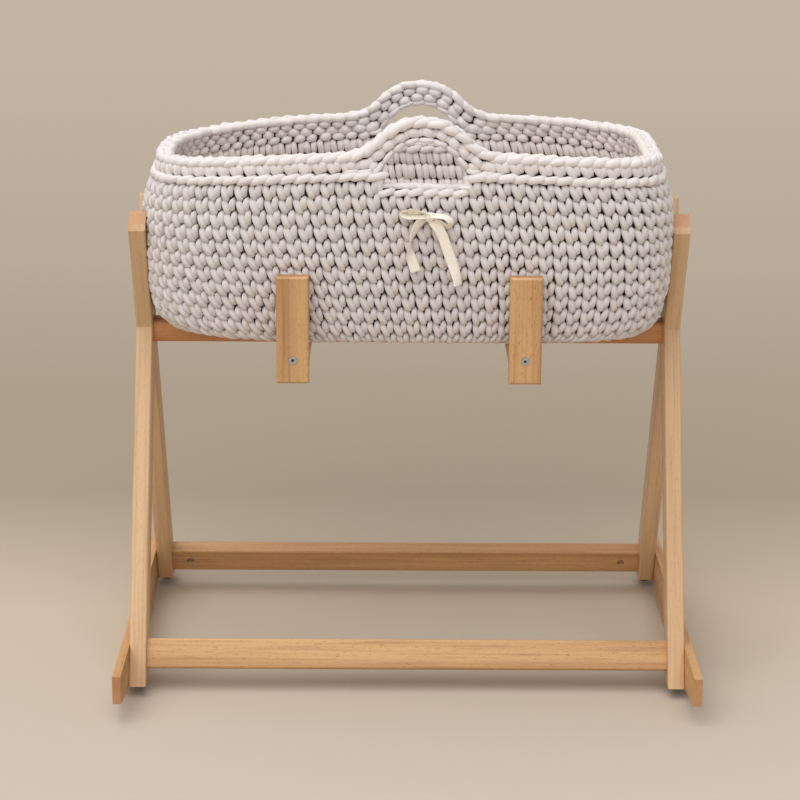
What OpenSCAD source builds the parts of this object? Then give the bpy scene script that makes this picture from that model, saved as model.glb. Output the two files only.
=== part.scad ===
// Rocking stand for a moses basket, with its crocheted basket set down in it.
// Two crossed ends stand on rocker boards and are tied by two low stretchers.
// A spine rail joins the crossings and carries two cross-bars, whose uprights hold the basket.
// x runs along the basket, y from front (-) to back (+), and the floor is z = 0.

/* [Basket] */
// Length of the basket at its belly
basket_len = 788; // [720:2:860]
// Width of the basket at its belly
basket_w = 372; // [330:2:420]
// Height of the basket from its seat to the rim
basket_h = 280; // [240:2:310]
// Thickness of the crocheted wall
wall = 22; // [16:1:28]
// Thickness of the crocheted base
base_t = 18; // [12:1:26]
// How far the base draws in from the belly at each side
base_in_side = 21; // [10:1:36]
// How far the base draws in from the belly at each end
base_in_end = 10; // [4:1:20]
// Rounding of the edge under the basket
base_r = 22; // [14:1:30]
// How far the rim leans in from the belly, all round
rim_in = 12; // [4:1:18]
// How far the rim dips at the two ends
rim_dip = 20; // [0:1:28]
// How the rim slopes to its ends, where 1 is straight and more keeps it level for longer
dip_power = 1.4; // [1:0.1:4]
// Fullness of the basket seen from above, where 2 is an ellipse
plan_power = 3.2; // [2.4:0.1:4]

/* [Handles] */
// Radius of a handle's outer edge
handle_r = 102; // [80:1:110]
// Height of a handle's band
handle_band = 37; // [28:1:44]
// Depth of the handle gap below the rim
gate_drop = 44; // [22:1:50]
// Offset of the handles from the middle of the basket
handle_x = 17; // [-30:1:30]

/* [Bow] */
// Width of the cotton tape
tape_w = 14; // [9:0.5:18]
// Thickness of the folded tape
tape_t = 1.6; // [1:0.1:2.5]
// Offset of the knot from the middle of the basket
bow_x = 25; // [-60:1:90]
// Height of the knot above the basket's seat
bow_z = 197; // [150:1:215]
// Size of the knot
knot = 13; // [9:0.5:18]
// Length of a loop
loop_len = 40; // [28:1:52]
// Depth of a loop from front to back
loop_d = 9; // [6:0.5:12]
// Droop of the left loop, in degrees
left_loop_droop = -4; // [-20:1:30]
// Droop of the right loop, in degrees
right_loop_droop = 24; // [-20:1:40]
// Length of the left tail
left_tail = 84; // [50:1:110]
// Lean of the left tail, in degrees
left_tail_lean = 13; // [0:1:30]
// Length of the right tail
right_tail = 112; // [60:1:125]
// Lean of the right tail, in degrees
right_tail_lean = 23; // [0:1:40]

/* [Crossed ends] */
// How far the soft basket ends press out past the inner faces of the crossed ends
end_press = 9; // [0:0.5:14]
// Thickness of a leg bar
leg_t = 25; // [21:1:32]
// Width of a leg bar
leg_w = 46; // [40:1:54]
// Lean of a leg from upright, in degrees
leg_lean = 24.9; // [21:0.1:28]
// Height of the crossing above the floor
crossing_z = 505.5; // [450:0.5:560]
// Height of the sawn feet above the floor
foot_z = 17; // [14:0.5:22]
// Length of an arm above the crossing, measured along the bar
arm_len = 198; // [150:1:225]
// Chamfer across the arm ends
arm_chamfer = 7; // [2:0.5:10]
// Rounding of the long edges of the timber
edge_r = 3; // [1:0.5:5]

/* [Rockers] */
// Thickness of a rocker board
rocker_t = 12; // [9:0.5:18]
// Reach of a rocker past the toe of a foot
rocker_reach = 95; // [60:1:130]
// Height of the straight top edge above the floor
rocker_top_z = 73; // [68:1:90]
// Radius of the rolling edge
rocker_r = 1950; // [1600:10:2600]

/* [Stretchers] */
// Thickness of a stretcher
stretcher_t = 25; // [21:1:30]
// Height of a stretcher, measured along the legs
stretcher_h = 44; // [36:1:52]
// Height of a stretcher's middle above the floor
stretcher_z = 53; // [49:0.5:56]

/* [Spine and cradle] */
// Height of the spine rail
spine_h = 36; // [32:1:44]
// Depth of the spine rail from front to back
spine_d = 36; // [32:1:44]
// Rounding of the spine rail
spine_r = 10; // [4:0.5:14]
// How far the spine's middle lies below the crossing
spine_drop = 8.5; // [4:0.5:12]
// Width of a cross-bar
bar_w = 46; // [42:1:54]
// Height of a cross-bar
bar_h = 25; // [22:1:30]
// Distance between the middles of the two cross-bars
bar_spacing = 334; // [260:2:420]
// How far the soft basket sides press out past the uprights
side_press = 4; // [0:0.5:8]
// Width of an upright
upright_w = 47; // [43:1:54]
// Thickness of an upright
upright_t = 18; // [15:0.5:24]
// Height of an upright
upright_h = 158; // [110:1:180]
// How far an upright reaches below the middle of its cross-bar
upright_drop = 35; // [24:0.5:44]
// Rounding of an upright's long edges
upright_r = 4; // [1:0.5:6]
// Chamfer round an upright's ends
upright_chamfer = 3; // [1:0.5:5]

/* [Fittings] */
// Diameter of the connector bolts
bolt_d = 6; // [5:0.5:8]
// Diameter of a bolt head
head_d = 12; // [10:0.5:15]
// Height of a bolt head
head_h = 3.5; // [2.5:0.1:5]
// How far the heads on the uprights stand proud
head_proud = 1; // [0:0.1:2]
// Width across the flats of the hexagon socket
key_w = 4; // [3:0.5:5]
// Diameter of a barrel nut
nut_d = 12; // [10:0.5:13]
// Length of a barrel nut
nut_len = 14; // [11:0.5:16]
// Distance of a barrel nut from the end of its rail
nut_inset = 30; // [28:0.5:40]
// Diameter of the wooden dowels
dowel_d = 8; // [6:0.5:9]
// Length of the wooden dowels
dowel_len = 30; // [24:1:34]
// How deep a dowel is set in the piece that it carries on
dowel_bury = 10; // [7:0.5:11]
// Diameter of a lap screw
screw_d = 4; // [3:0.5:5]
// Length of a lap screw
screw_len = 31; // [27:0.5:33]
// Diameter of a rubber foot pad
pad_d = 18; // [14:0.5:22]
// Height of a rubber foot pad
pad_h = 8; // [5:0.5:10]

/* [Hidden] */
$fn = 48;

// Fits: play round a fitting, play beside a lapped bar, gap round soft crochet, and overrun of a cut
play = 0.1;
lap_play = 0.1;
soft_gap = 0.3;
overrun = 1;

// Steps of a rounded corner, of the basket's outline seen from above, and of a tape loop
corner_steps = 5;
plan_steps = 64;
loop_steps = 24;

// Colours
beech = [0.80, 0.60, 0.42];
zinc = [0.72, 0.74, 0.76];
rubber = [0.16, 0.15, 0.15];
yarn = [0.84, 0.81, 0.80];
cotton = [0.96, 0.91, 0.80];

// The stand is made to fit the basket
clear_w = basket_len - 2 * end_press;
cradle_w = basket_w - 2 * side_press;
leg_x = (clear_w + leg_t) / 2;
outer_x = clear_w / 2 + leg_t;
bar_x = bar_spacing / 2;

// Heights that follow the crossing
spine_z = crossing_z - spine_drop;
seat_z = spine_z + spine_h / 2;
bar_z = seat_z - bar_h / 2;
lap_d = bar_h / 2;
upright_foot_z = bar_z - upright_drop;

// Places on the leaning legs, front to back
foot_y = (crossing_z - foot_z) * tan(leg_lean);
toe_y = foot_y + leg_w / 2 / cos(leg_lean);
stretcher_y = (crossing_z - stretcher_z) * tan(leg_lean);
foot_run = (crossing_z - foot_z) / cos(leg_lean);
rocker_half = toe_y + rocker_reach;

// Fittings
bore_d = bolt_d + 2 * play;
nut_bore_d = nut_d + 2 * play;
dowel_bore_d = dowel_d + 2 * play;
bolt_tip = bolt_d / 3;
nut_slot_w = nut_d / 8;
nut_slot_d = nut_d / 6;
dowel_chamfer = dowel_d / 8;
dowel_depth = dowel_len - dowel_bury + play;
bolt_depth = nut_inset + nut_d / 2 + bolt_tip + play;
stretcher_pitch = stretcher_h - 2 * dowel_d - 2 * edge_r;
spine_pitch = spine_d - 2 * edge_r - dowel_d;
upright_pitch = bar_w - 2 * dowel_d - 2 * edge_r;
screw_head_d = 2 * screw_d;
screw_head_h = screw_d / 2;
stem_d = pad_d / 2.25;
stem_len = 1.5 * stem_d;

// Basket: shares of the height, of the swell from base to belly, and of the lean from belly to rim
belly_shares = [
    [0.20, 0.45, 0], [0.35, 0.80, 0], [0.52, 1, 0], [0.75, 1, 0],
    [0.89, 1, 0.25], [0.97, 1, 0.90], [1, 1, 1.6]];
inner_shares = [[0.97, 1, 0.95], [0.89, 1, 0.25], [0.70, 1, 0], [0.50, 1, 0], [0.30, 0.70, 0]];
base_z = seat_z + soft_gap;
rim_z = base_z + basket_h;
gate_z = rim_z - gate_drop;
belly_x = basket_len / 2;
belly_y = basket_w / 2;
handle_face_y = belly_y - rim_in / 2;
handle_hole_r = handle_r - handle_band;
tape_y = -belly_y - soft_gap;

// Outline of a rectangle with rounded corners, w across and h up, about its middle
function round_rect(w, h, r) = [
    for (corner = [0:3], step = [0:corner_steps])
        let (
            a = 90 * (corner + step / corner_steps),
            to_x = corner == 0 || corner == 3 ? 1 : -1,
            to_y = corner < 2 ? 1 : -1)
        [to_x * (w / 2 - r) + r * cos(a), to_y * (h / 2 - r) + r * sin(a)]];

// Outline of a flattened loop, drawn in all round by an inset, from the origin towards +x and in front of y = 0
function oval(length, d, inset) = [
    for (i = [0:loop_steps - 1])
        let (a = 360 * i / loop_steps)
        [length / 2 + (length / 2 - inset) * cos(a), -d / 2 + (d / 2 - inset) * sin(a)]];

// Point of the basket's plan at an angle, for given half-lengths
function plan(ax, ay, a) = [
    ax * sign(cos(a)) * pow(abs(cos(a)), 2 / plan_power),
    ay * sign(sin(a)) * pow(abs(sin(a)), 2 / plan_power)];

// Ring of the basket: swell and lean shares, a further inset, and a height share plus a fixed lift
function ring(share, swell, lean, inset, lift) = [
    for (i = [0:plan_steps - 1])
        let (
            a = 360 * i / plan_steps,
            ax = belly_x - base_in_end * (1 - swell) - rim_in * lean - inset,
            ay = belly_y - base_in_side * (1 - swell) - rim_in * lean - inset,
            p = plan(ax, ay, a),
            dip = rim_dip * pow(abs(p[0]) / ax, dip_power))
        [p[0], p[1], base_z + lift + share * (basket_h - dip)]];

// Bar along x with a rounded section, d deep and h high
module rail(length, d, h, r) {
    rotate([90, 0, 90])
        linear_extrude(length, center = true)
            polygon(round_rect(d, h, r));
}

// Cylinder along x from the start, towards +x for a positive length
module along_x(length, d) {
    rotate([0, sign(length) * 90, 0])
        cylinder(h = abs(length), d = d);
}

// Bolt with its head's underside at the origin and its shank down -z
module bolt(length) {
    difference() {
        union() {
            cylinder(h = head_h, d = head_d);
            translate([0, 0, -length])
                cylinder(h = length + head_h / 2, d = bolt_d);
        }
        translate([0, 0, head_h / 2])
            cylinder(h = head_h, d = key_w / cos(30), $fn = 6);
    }
}

// Barrel nut about the origin, with its axis on z, its bore on x and its slot on top
module barrel_nut() {
    difference() {
        cylinder(h = nut_len, d = nut_d, center = true);
        translate([-nut_d, 0, 0])
            along_x(2 * nut_d, bore_d);
        translate([-nut_d, -nut_slot_w / 2, nut_len / 2 - nut_slot_d])
            cube([2 * nut_d, nut_slot_w, nut_len]);
    }
}

// Dowel on z, with the face that it crosses at z = 0 and its buried end upwards
module dowel() {
    translate([0, 0, dowel_bury - dowel_len])
        rotate_extrude()
            polygon([
                [0, 0], [dowel_d / 2 - dowel_chamfer, 0], [dowel_d / 2, dowel_chamfer],
                [dowel_d / 2, dowel_len - dowel_chamfer],
                [dowel_d / 2 - dowel_chamfer, dowel_len], [0, dowel_len]]);
}

// Straight bar of a front leg about the crossing, with its chamfered arm end and its level foot
module leg_bar() {
    half = leg_w / 2;
    rise = half * tan(leg_lean);
    intersection() {
        rotate([90, 0, 90])
            linear_extrude(leg_t, center = true)
                polygon([
                    [-half, -foot_run - rise], [half, -foot_run + rise],
                    [half, arm_len - arm_chamfer], [half - arm_chamfer, arm_len],
                    [arm_chamfer - half, arm_len], [-half, arm_len - arm_chamfer]]);
        translate([0, 0, -foot_run - leg_w])
            linear_extrude(foot_run + leg_w + arm_len)
                polygon(round_rect(leg_t, leg_w, edge_r));
    }
}

// Straight bar in the place of a leg, wider by the lap's play; the foot is at the given end
module lap_space(side, end) {
    translate([side * leg_x, 0, crossing_z])
        rotate([end * leg_lean, 0, 0])
            cube([leg_t + 2 * overrun, leg_w + 2 * lap_play, 2 * arm_len], center = true);
}

// One leg: side is -1 left or 1 right, end is -1 for a front foot or 1 for a rear foot
module leg(side, end) {
    color(beech)
        difference() {
            translate([side * leg_x, 0, crossing_z])
                mirror([0, end > 0 ? 1 : 0, 0])
                    rotate([-leg_lean, 0, 0])
                        leg_bar();
            // Half lap: a front leg gives up its outer half, a rear leg its inner half
            intersection() {
                lap_space(side, -end);
                translate([side * leg_x - (side * end < 0 ? 0 : leg_t), -leg_w * 2, crossing_z - leg_w * 3])
                    cube([leg_t, leg_w * 4, leg_w * 6]);
            }
            // Stretcher bolt and dowels
            translate([side * (clear_w / 2 - overrun), end * stretcher_y, stretcher_z])
                along_x(side * (leg_t + 2 * overrun), bore_d);
            stretcher_dowel_places(side, end)
                translate([0, 0, -overrun])
                    cylinder(h = dowel_bury + play + overrun, d = dowel_bore_d);
            // Spine bolt with its head sunk, and the spine dowels
            translate([side * (clear_w / 2 - overrun), 0, spine_z])
                along_x(side * (leg_t + 2 * overrun), bore_d);
            translate([side * (outer_x - head_h), 0, spine_z])
                along_x(side * (head_h + overrun), head_d + 2 * play);
            spine_dowel_places(side)
                translate([0, 0, -overrun])
                    cylinder(h = dowel_bury + play + overrun, d = dowel_bore_d);
            // Stem of the rubber pad
            translate([side * leg_x, end * foot_y, foot_z - overrun])
                cylinder(h = stem_len + play + overrun, d = stem_d + 2 * play);
        }
}

// Puts children at a stretcher's two dowels at one leg, on the leg's inner face with z into the leg
module stretcher_dowel_places(side, end) {
    translate([side * clear_w / 2, end * stretcher_y, stretcher_z])
        rotate([end * leg_lean, 0, 0])
            for (up = [-1, 1])
                translate([0, 0, up * stretcher_pitch / 2])
                    rotate([0, side * 90, 0])
                        children();
}

// Puts children at the spine's two dowels at one end, on the legs' inner face with z into the leg
module spine_dowel_places(side) {
    for (across = [-1, 1])
        translate([side * clear_w / 2, across * spine_pitch / 2, spine_z])
            rotate([0, side * 90, 0])
                children();
}

// Puts children at an upright's two dowels, on the upright's inner face with z into the upright
module upright_dowel_places(side, end) {
    for (across = [-1, 1])
        translate([side * bar_x + across * upright_pitch / 2, end * cradle_w / 2, bar_z])
            rotate([-end * 90, 0, 0])
                children();
}

// One rocker board with a straight top, upright ends and a round rolling edge
module rocker(side) {
    color(beech)
        difference() {
            translate([side * (outer_x + rocker_t / 2), 0, 0])
                rotate([90, 0, 90])
                    linear_extrude(rocker_t, center = true)
                        intersection() {
                            translate([-rocker_half, 0])
                                square([2 * rocker_half, rocker_top_z]);
                            translate([0, rocker_r])
                                circle(r = rocker_r, $fn = 720);
                        }
            for (end = [-1, 1])
                translate([side * outer_x, end * stretcher_y, stretcher_z]) {
                    translate([-side * overrun, 0, 0])
                        along_x(side * (rocker_t + 2 * overrun), bore_d);
                    translate([side * (rocker_t - head_h), 0, 0])
                        along_x(side * (head_h + overrun), head_d + 2 * play);
                }
        }
}

// One stretcher, turned with the legs, its barrel nuts let in from the inner face
module stretcher(end) {
    color(beech)
        difference() {
            translate([0, end * stretcher_y, stretcher_z])
                rotate([end * leg_lean, 0, 0])
                    difference() {
                        rail(clear_w, stretcher_t, stretcher_h, edge_r);
                        for (side = [-1, 1]) {
                            translate([side * (clear_w / 2 + overrun), 0, 0])
                                along_x(-side * (bolt_depth + overrun), bore_d);
                            translate([side * (clear_w / 2 - nut_inset), 0, 0])
                                rotate([end * 90, 0, 0])
                                    translate([0, 0, -nut_len / 2 - play])
                                        cylinder(h = stretcher_t, d = nut_bore_d);
                        }
                    }
            for (side = [-1, 1])
                stretcher_dowel_places(side, end)
                    translate([0, 0, -dowel_depth])
                        cylinder(h = dowel_depth + overrun, d = dowel_bore_d);
        }
}

// Spine rail between the crossings, lapped for the cross-bars, its barrel nuts let in from below
module spine_rail() {
    color(beech)
        difference() {
            translate([0, 0, spine_z])
                rail(clear_w, spine_d, spine_h, spine_r);
            for (side = [-1, 1]) {
                translate([side * bar_x - bar_w / 2 - lap_play, -spine_d, seat_z - lap_d])
                    cube([bar_w + 2 * lap_play, 2 * spine_d, bar_h]);
                translate([side * (clear_w / 2 + overrun), 0, spine_z])
                    along_x(-side * (bolt_depth + overrun), bore_d);
                translate([side * (clear_w / 2 - nut_inset), 0, spine_z - spine_h])
                    cylinder(h = spine_h + nut_len / 2 + play, d = nut_bore_d);
                spine_dowel_places(side)
                    translate([0, 0, -dowel_depth])
                        cylinder(h = dowel_depth + overrun, d = dowel_bore_d);
                translate([side * bar_x, 0, seat_z - spine_h])
                    screw_space();
            }
        }
}

// Hole of a lap screw, countersunk at its foot
module screw_space() {
    translate([0, 0, -overrun])
        cylinder(h = spine_h, d = screw_d + 2 * play);
    cylinder(h = screw_head_h + play, d1 = screw_head_d + 2 * play, d2 = screw_d + 2 * play);
}

// One cross-bar, lying flat over the spine, its barrel nuts let in from below
module cross_bar(side) {
    color(beech)
        difference() {
            translate([side * bar_x, 0, bar_z])
                rotate([0, 0, 90])
                    rail(cradle_w, bar_w, bar_h, edge_r);
            translate([side * bar_x - bar_w, -spine_d / 2 - lap_play, bar_z - bar_h])
                cube([2 * bar_w, spine_d + 2 * lap_play, bar_h]);
            translate([side * bar_x, 0, seat_z - spine_h])
                cylinder(h = screw_len + play, d = screw_d + 2 * play);
            for (end = [-1, 1]) {
                translate([side * bar_x, end * (cradle_w / 2 + overrun), bar_z])
                    rotate([end * 90, 0, 0])
                        cylinder(h = bolt_depth + overrun, d = bore_d);
                translate([side * bar_x, end * (cradle_w / 2 - nut_inset), bar_z - bar_h])
                    cylinder(h = bar_h + nut_len / 2 + play, d = nut_bore_d);
                upright_dowel_places(side, end)
                    translate([0, 0, -dowel_depth])
                        cylinder(h = dowel_depth + overrun, d = dowel_bore_d);
            }
        }
}

// One upright on the end of a cross-bar, with rounded edges, chamfered ends and a sunk bolt head
module upright(side, end) {
    half = upright_t / 2;
    top = upright_h;
    color(beech)
        difference() {
            translate([side * bar_x, end * (cradle_w / 2 + half), upright_foot_z])
                intersection() {
                    linear_extrude(upright_h)
                        polygon(round_rect(upright_w, upright_t, upright_r));
                    rotate([90, 0, 90])
                        linear_extrude(upright_w + 2 * overrun, center = true)
                            polygon([
                                [-half + upright_chamfer, 0], [half - upright_chamfer, 0],
                                [half, upright_chamfer], [half, top - upright_chamfer],
                                [half - upright_chamfer, top], [-half + upright_chamfer, top],
                                [-half, top - upright_chamfer], [-half, upright_chamfer]]);
                }
            translate([side * bar_x, end * (cradle_w / 2 - overrun), bar_z])
                rotate([-end * 90, 0, 0])
                    cylinder(h = upright_t + 2 * overrun, d = bore_d);
            translate([side * bar_x, end * (cradle_w / 2 + upright_t - head_h + head_proud), bar_z])
                rotate([-end * 90, 0, 0])
                    cylinder(h = head_h, d = head_d + 2 * play);
            upright_dowel_places(side, end)
                translate([0, 0, -overrun])
                    cylinder(h = dowel_bury + play + overrun, d = dowel_bore_d);
        }
}

// Bolts through rocker, leg and stretcher
module stretcher_bolts() {
    seat = outer_x + rocker_t - head_h;
    color(zinc)
        for (side = [-1, 1], end = [-1, 1])
            translate([side * seat, end * stretcher_y, stretcher_z])
                rotate([0, side * 90, 0])
                    bolt(seat - clear_w / 2 + nut_inset + nut_d / 2 + bolt_tip);
}

// Barrel nuts in the stretchers, slot towards the inner face
module stretcher_nuts() {
    color(zinc)
        for (side = [-1, 1], end = [-1, 1])
            translate([side * (clear_w / 2 - nut_inset), end * stretcher_y, stretcher_z])
                rotate([end * (leg_lean + 90), 0, 0])
                    barrel_nut();
}

// Dowels between legs and stretchers
module stretcher_dowels() {
    color(beech)
        for (side = [-1, 1], end = [-1, 1])
            stretcher_dowel_places(side, end)
                dowel();
}

// Bolts through the laps into the spine
module spine_bolts() {
    seat = outer_x - head_h;
    color(zinc)
        for (side = [-1, 1])
            translate([side * seat, 0, spine_z])
                rotate([0, side * 90, 0])
                    bolt(seat - clear_w / 2 + nut_inset + nut_d / 2 + bolt_tip);
}

// Barrel nuts in the spine, slot downwards
module spine_nuts() {
    color(zinc)
        for (side = [-1, 1])
            translate([side * (clear_w / 2 - nut_inset), 0, spine_z])
                rotate([180, 0, 0])
                    barrel_nut();
}

// Dowels between the laps and the spine
module spine_dowels() {
    color(beech)
        for (side = [-1, 1])
            spine_dowel_places(side)
                dowel();
}

// Bolts through the uprights into the cross-bars
module upright_bolts() {
    sink = head_h - head_proud;
    color(zinc)
        for (side = [-1, 1], end = [-1, 1])
            translate([side * bar_x, end * (cradle_w / 2 + upright_t - sink), bar_z])
                rotate([-end * 90, 0, 0])
                    bolt(upright_t - sink + nut_inset + nut_d / 2 + bolt_tip);
}

// Barrel nuts in the cross-bars, slot downwards
module upright_nuts() {
    color(zinc)
        for (side = [-1, 1], end = [-1, 1])
            translate([side * bar_x, end * (cradle_w / 2 - nut_inset), bar_z])
                rotate([180, 0, 90])
                    barrel_nut();
}

// Dowels between the uprights and the cross-bars
module upright_dowels() {
    color(beech)
        for (side = [-1, 1], end = [-1, 1])
            upright_dowel_places(side, end)
                dowel();
}

// Countersunk screws up through the spine into the cross-bars
module lap_screws() {
    color(zinc)
        for (side = [-1, 1])
            translate([side * bar_x, 0, seat_z - spine_h]) {
                cylinder(h = screw_len, d = screw_d);
                cylinder(h = screw_head_h, d1 = screw_head_d, d2 = screw_d);
            }
}

// Rubber pads with stems pushed up into the feet, which stop the rocking
module foot_pads() {
    color(rubber)
        for (side = [-1, 1], end = [-1, 1])
            translate([side * leg_x, end * foot_y, foot_z - pad_h]) {
                cylinder(h = pad_h, d = pad_d);
                cylinder(h = pad_h + stem_len, d = stem_d);
            }
}

// Closed crocheted shell, from the base up the outside, over the rim and down the inside
module basket_shell() {
    rings = concat(
        [ring(0, 0, 0, base_r, 0)],
        [for (a = [30, 60, 90]) ring(0, 0, 0, base_r * (1 - sin(a)), base_r * (1 - cos(a)))],
        [for (s = belly_shares) ring(s[0], s[1], s[2], 0, 0)],
        [ring(1, 1, 1, wall - rim_in / 2, 0)],
        [for (s = inner_shares) ring(s[0], s[1], s[2], wall, 0)],
        [ring(0, 0, 0, wall, base_t + base_r), ring(0, 0, 0, wall + base_r, base_t)]);
    last = len(rings) - 1;
    polyhedron(
        points = [for (r = rings) each r],
        faces = concat(
            [[for (i = [0:plan_steps - 1]) i]],
            [for (k = [0:last - 1], i = [0:plan_steps - 1])
                let (j = (i + 1) % plan_steps, low = k * plan_steps, high = low + plan_steps)
                each [[low + i, high + i, high + j], [low + i, high + j, low + j]]],
            [[for (i = [plan_steps - 1:-1:0]) last * plan_steps + i]]));
}

// Space of an arm, and of all that lies beside it away from the crook of the cross
module arm_space(side, end) {
    from_y = leg_w / 2 + soft_gap;
    translate([side * (clear_w / 2 - soft_gap), 0, crossing_z])
        mirror([side < 0 ? 1 : 0, 0, 0])
            mirror([0, end > 0 ? 1 : 0, 0])
                rotate([-leg_lean, 0, 0])
                    translate([0, -from_y, -leg_w])
                        cube([leg_t, from_y + basket_w, leg_w + arm_len + soft_gap]);
}

// Space of an upright beside the basket
module upright_space(side, end) {
    translate([side * bar_x, end * (cradle_w / 2 + upright_t / 2 - soft_gap), upright_foot_z + upright_h / 2])
        cube([upright_w + 2 * soft_gap, upright_t, upright_h + 2 * soft_gap], center = true);
}

// Basket without its handles: pressed in by the arms and uprights, and cut down under each handle
module basket_body() {
    color(yarn)
        difference() {
            basket_shell();
            for (side = [-1, 1], end = [-1, 1]) {
                arm_space(side, end);
                upright_space(side, end);
            }
            for (end = [-1, 1])
                translate([handle_x, end * handle_face_y, gate_z])
                    handle_arch(handle_r + soft_gap, 0, 4 * wall);
        }
}

// Half ring that stands on the handle gap, of a given depth about its middle
module handle_arch(outer_r, hole_r, depth) {
    rotate([90, 0, 0])
        linear_extrude(depth, center = true)
            intersection() {
                difference() {
                    circle(r = outer_r, $fn = 96);
                    if (hole_r > 0)
                        circle(r = hole_r, $fn = 96);
                }
                translate([-outer_r - overrun, 0])
                    square([2 * (outer_r + overrun), outer_r + overrun]);
            }
}

// One crocheted handle, standing in the gap of the rim
module handle(end) {
    color(yarn)
        translate([handle_x, end * (handle_face_y - wall / 2), gate_z])
            handle_arch(handle_r, handle_hole_r, wall);
}

// One flattened loop of tape, from under the knot towards +x, in front of y = 0
module tape_loop() {
    linear_extrude(tape_w, center = true)
        difference() {
            translate([-knot / 2, 0])
                polygon(oval(loop_len + knot / 2, loop_d, 0));
            translate([knot / 2, 0])
                polygon(oval(loop_len - knot / 2, loop_d, tape_t));
        }
}

// One flat tail of tape, hanging from the knot, in front of y = 0
module tape_tail(length) {
    translate([-tape_w / 2, -tape_t, -length])
        cube([tape_w, tape_t, length]);
}

// Bow of cotton tape tied on the front of the basket: the tails lie under the loops, and the knot holds them
module tape_bow() {
    color(cotton)
        translate([bow_x, tape_y, base_z + bow_z]) {
            rotate([0, -right_tail_lean, 0])
                tape_tail(right_tail);
            translate([0, -tape_t / 2, 0])
                rotate([0, left_tail_lean, 0])
                    tape_tail(left_tail);
            translate([0, -tape_t / 4, 0])
                rotate([0, right_loop_droop, 0])
                    tape_loop();
            translate([0, -tape_t / 2, 0])
                mirror([1, 0, 0])
                    rotate([0, left_loop_droop, 0])
                        tape_loop();
            translate([-knot / 2, -loop_d - tape_t, -knot / 2])
                cube([knot, loop_d, knot]);
        }
}

leg(-1, -1);  // left_front_leg
leg(-1, 1);  // left_rear_leg
leg(1, -1);  // right_front_leg
leg(1, 1);  // right_rear_leg
rocker(-1);  // left_rocker
rocker(1);  // right_rocker
stretcher(-1);  // front_stretcher
stretcher(1);  // rear_stretcher
spine_rail();
cross_bar(-1);  // left_cross_bar
cross_bar(1);  // right_cross_bar
upright(-1, -1);  // left_front_upright
upright(-1, 1);  // left_rear_upright
upright(1, -1);  // right_front_upright
upright(1, 1);  // right_rear_upright
stretcher_bolts();
stretcher_nuts();
stretcher_dowels();
spine_bolts();
spine_nuts();
spine_dowels();
upright_bolts();
upright_nuts();
upright_dowels();
lap_screws();
foot_pads();
basket_body();
handle(-1);  // front_handle
handle(1);  // rear_handle
tape_bow();
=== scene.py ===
"""Looks of a moses basket stand: beech rocking frame, zinc fittings, crocheted basket and tape bow."""

import logging
import math
from abc import ABC, abstractmethod
from dataclasses import dataclass
from enum import Enum

import bpy
import numpy as np
from mathutils import Matrix, Vector


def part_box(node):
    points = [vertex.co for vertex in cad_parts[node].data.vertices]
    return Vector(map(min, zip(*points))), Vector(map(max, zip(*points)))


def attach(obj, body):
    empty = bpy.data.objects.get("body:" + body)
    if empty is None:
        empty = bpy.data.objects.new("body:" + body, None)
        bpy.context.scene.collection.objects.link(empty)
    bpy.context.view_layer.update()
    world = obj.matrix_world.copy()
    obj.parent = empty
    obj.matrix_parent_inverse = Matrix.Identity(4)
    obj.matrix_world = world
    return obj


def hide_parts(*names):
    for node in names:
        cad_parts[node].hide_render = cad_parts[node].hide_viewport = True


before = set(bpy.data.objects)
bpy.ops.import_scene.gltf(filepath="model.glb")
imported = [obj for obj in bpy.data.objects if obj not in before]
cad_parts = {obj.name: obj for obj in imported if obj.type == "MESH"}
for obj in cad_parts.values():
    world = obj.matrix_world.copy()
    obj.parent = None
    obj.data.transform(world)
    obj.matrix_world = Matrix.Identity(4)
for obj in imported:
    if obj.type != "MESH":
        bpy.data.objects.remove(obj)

Pair = tuple[float, float]
Triple = tuple[float, float, float]
Colour = Triple
Route = tuple[tuple[float, float, float, float], ...]
Faces = list[tuple[int, ...]]
log = logging.getLogger("moses_basket_stand")
STRAND_ATTRIBUTE = "strand"
MM = 0.001
TINY = 1e-9
LEG_LEAN = math.radians(24.9)
BOTH_SIDES = np.array([-1.0, 1.0])
UPRIGHTS = ("left_front_upright", "left_rear_upright", "right_front_upright", "right_rear_upright")


def lengths_along(points: np.ndarray) -> np.ndarray:
    """Distances along a line of points, one a row, from its first point."""
    return np.concatenate([[0.0], np.cumsum(np.linalg.norm(np.diff(points, axis=0), axis=1))])


def smooth_line(keys: np.ndarray, places: np.ndarray, wanted: np.ndarray) -> np.ndarray:
    """Smooth line through key rows.

    Args:
        keys: Rows of values.
        places: Place of each row along the line, rising.
        wanted: Places at which the line is read.

    Returns:
        One row of values for each wanted place.
    """
    slopes = np.gradient(keys, places, axis=0)
    span = np.clip(np.searchsorted(places, wanted) - 1, 0, len(places) - 2)
    step = (places[span + 1] - places[span])[:, None]
    t = (wanted - places[span])[:, None] / step
    near = (2 * t**3 - 3 * t**2 + 1) * keys[span] + (t**3 - 2 * t**2 + t) * step * slopes[span]
    far = (3 * t**2 - 2 * t**3) * keys[span + 1] + (t**3 - t**2) * step * slopes[span + 1]
    return near + far


def read_line(line: np.ndarray, run: np.ndarray, places: np.ndarray) -> np.ndarray:
    """Reads a line between its points.

    Args:
        line: Its points, one a row.
        run: Distance of each point along it.
        places: Distances at which it is read.

    Returns:
        One row for each place.
    """
    return np.stack([np.interp(places, run, column) for column in line.T], axis=1)


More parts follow.
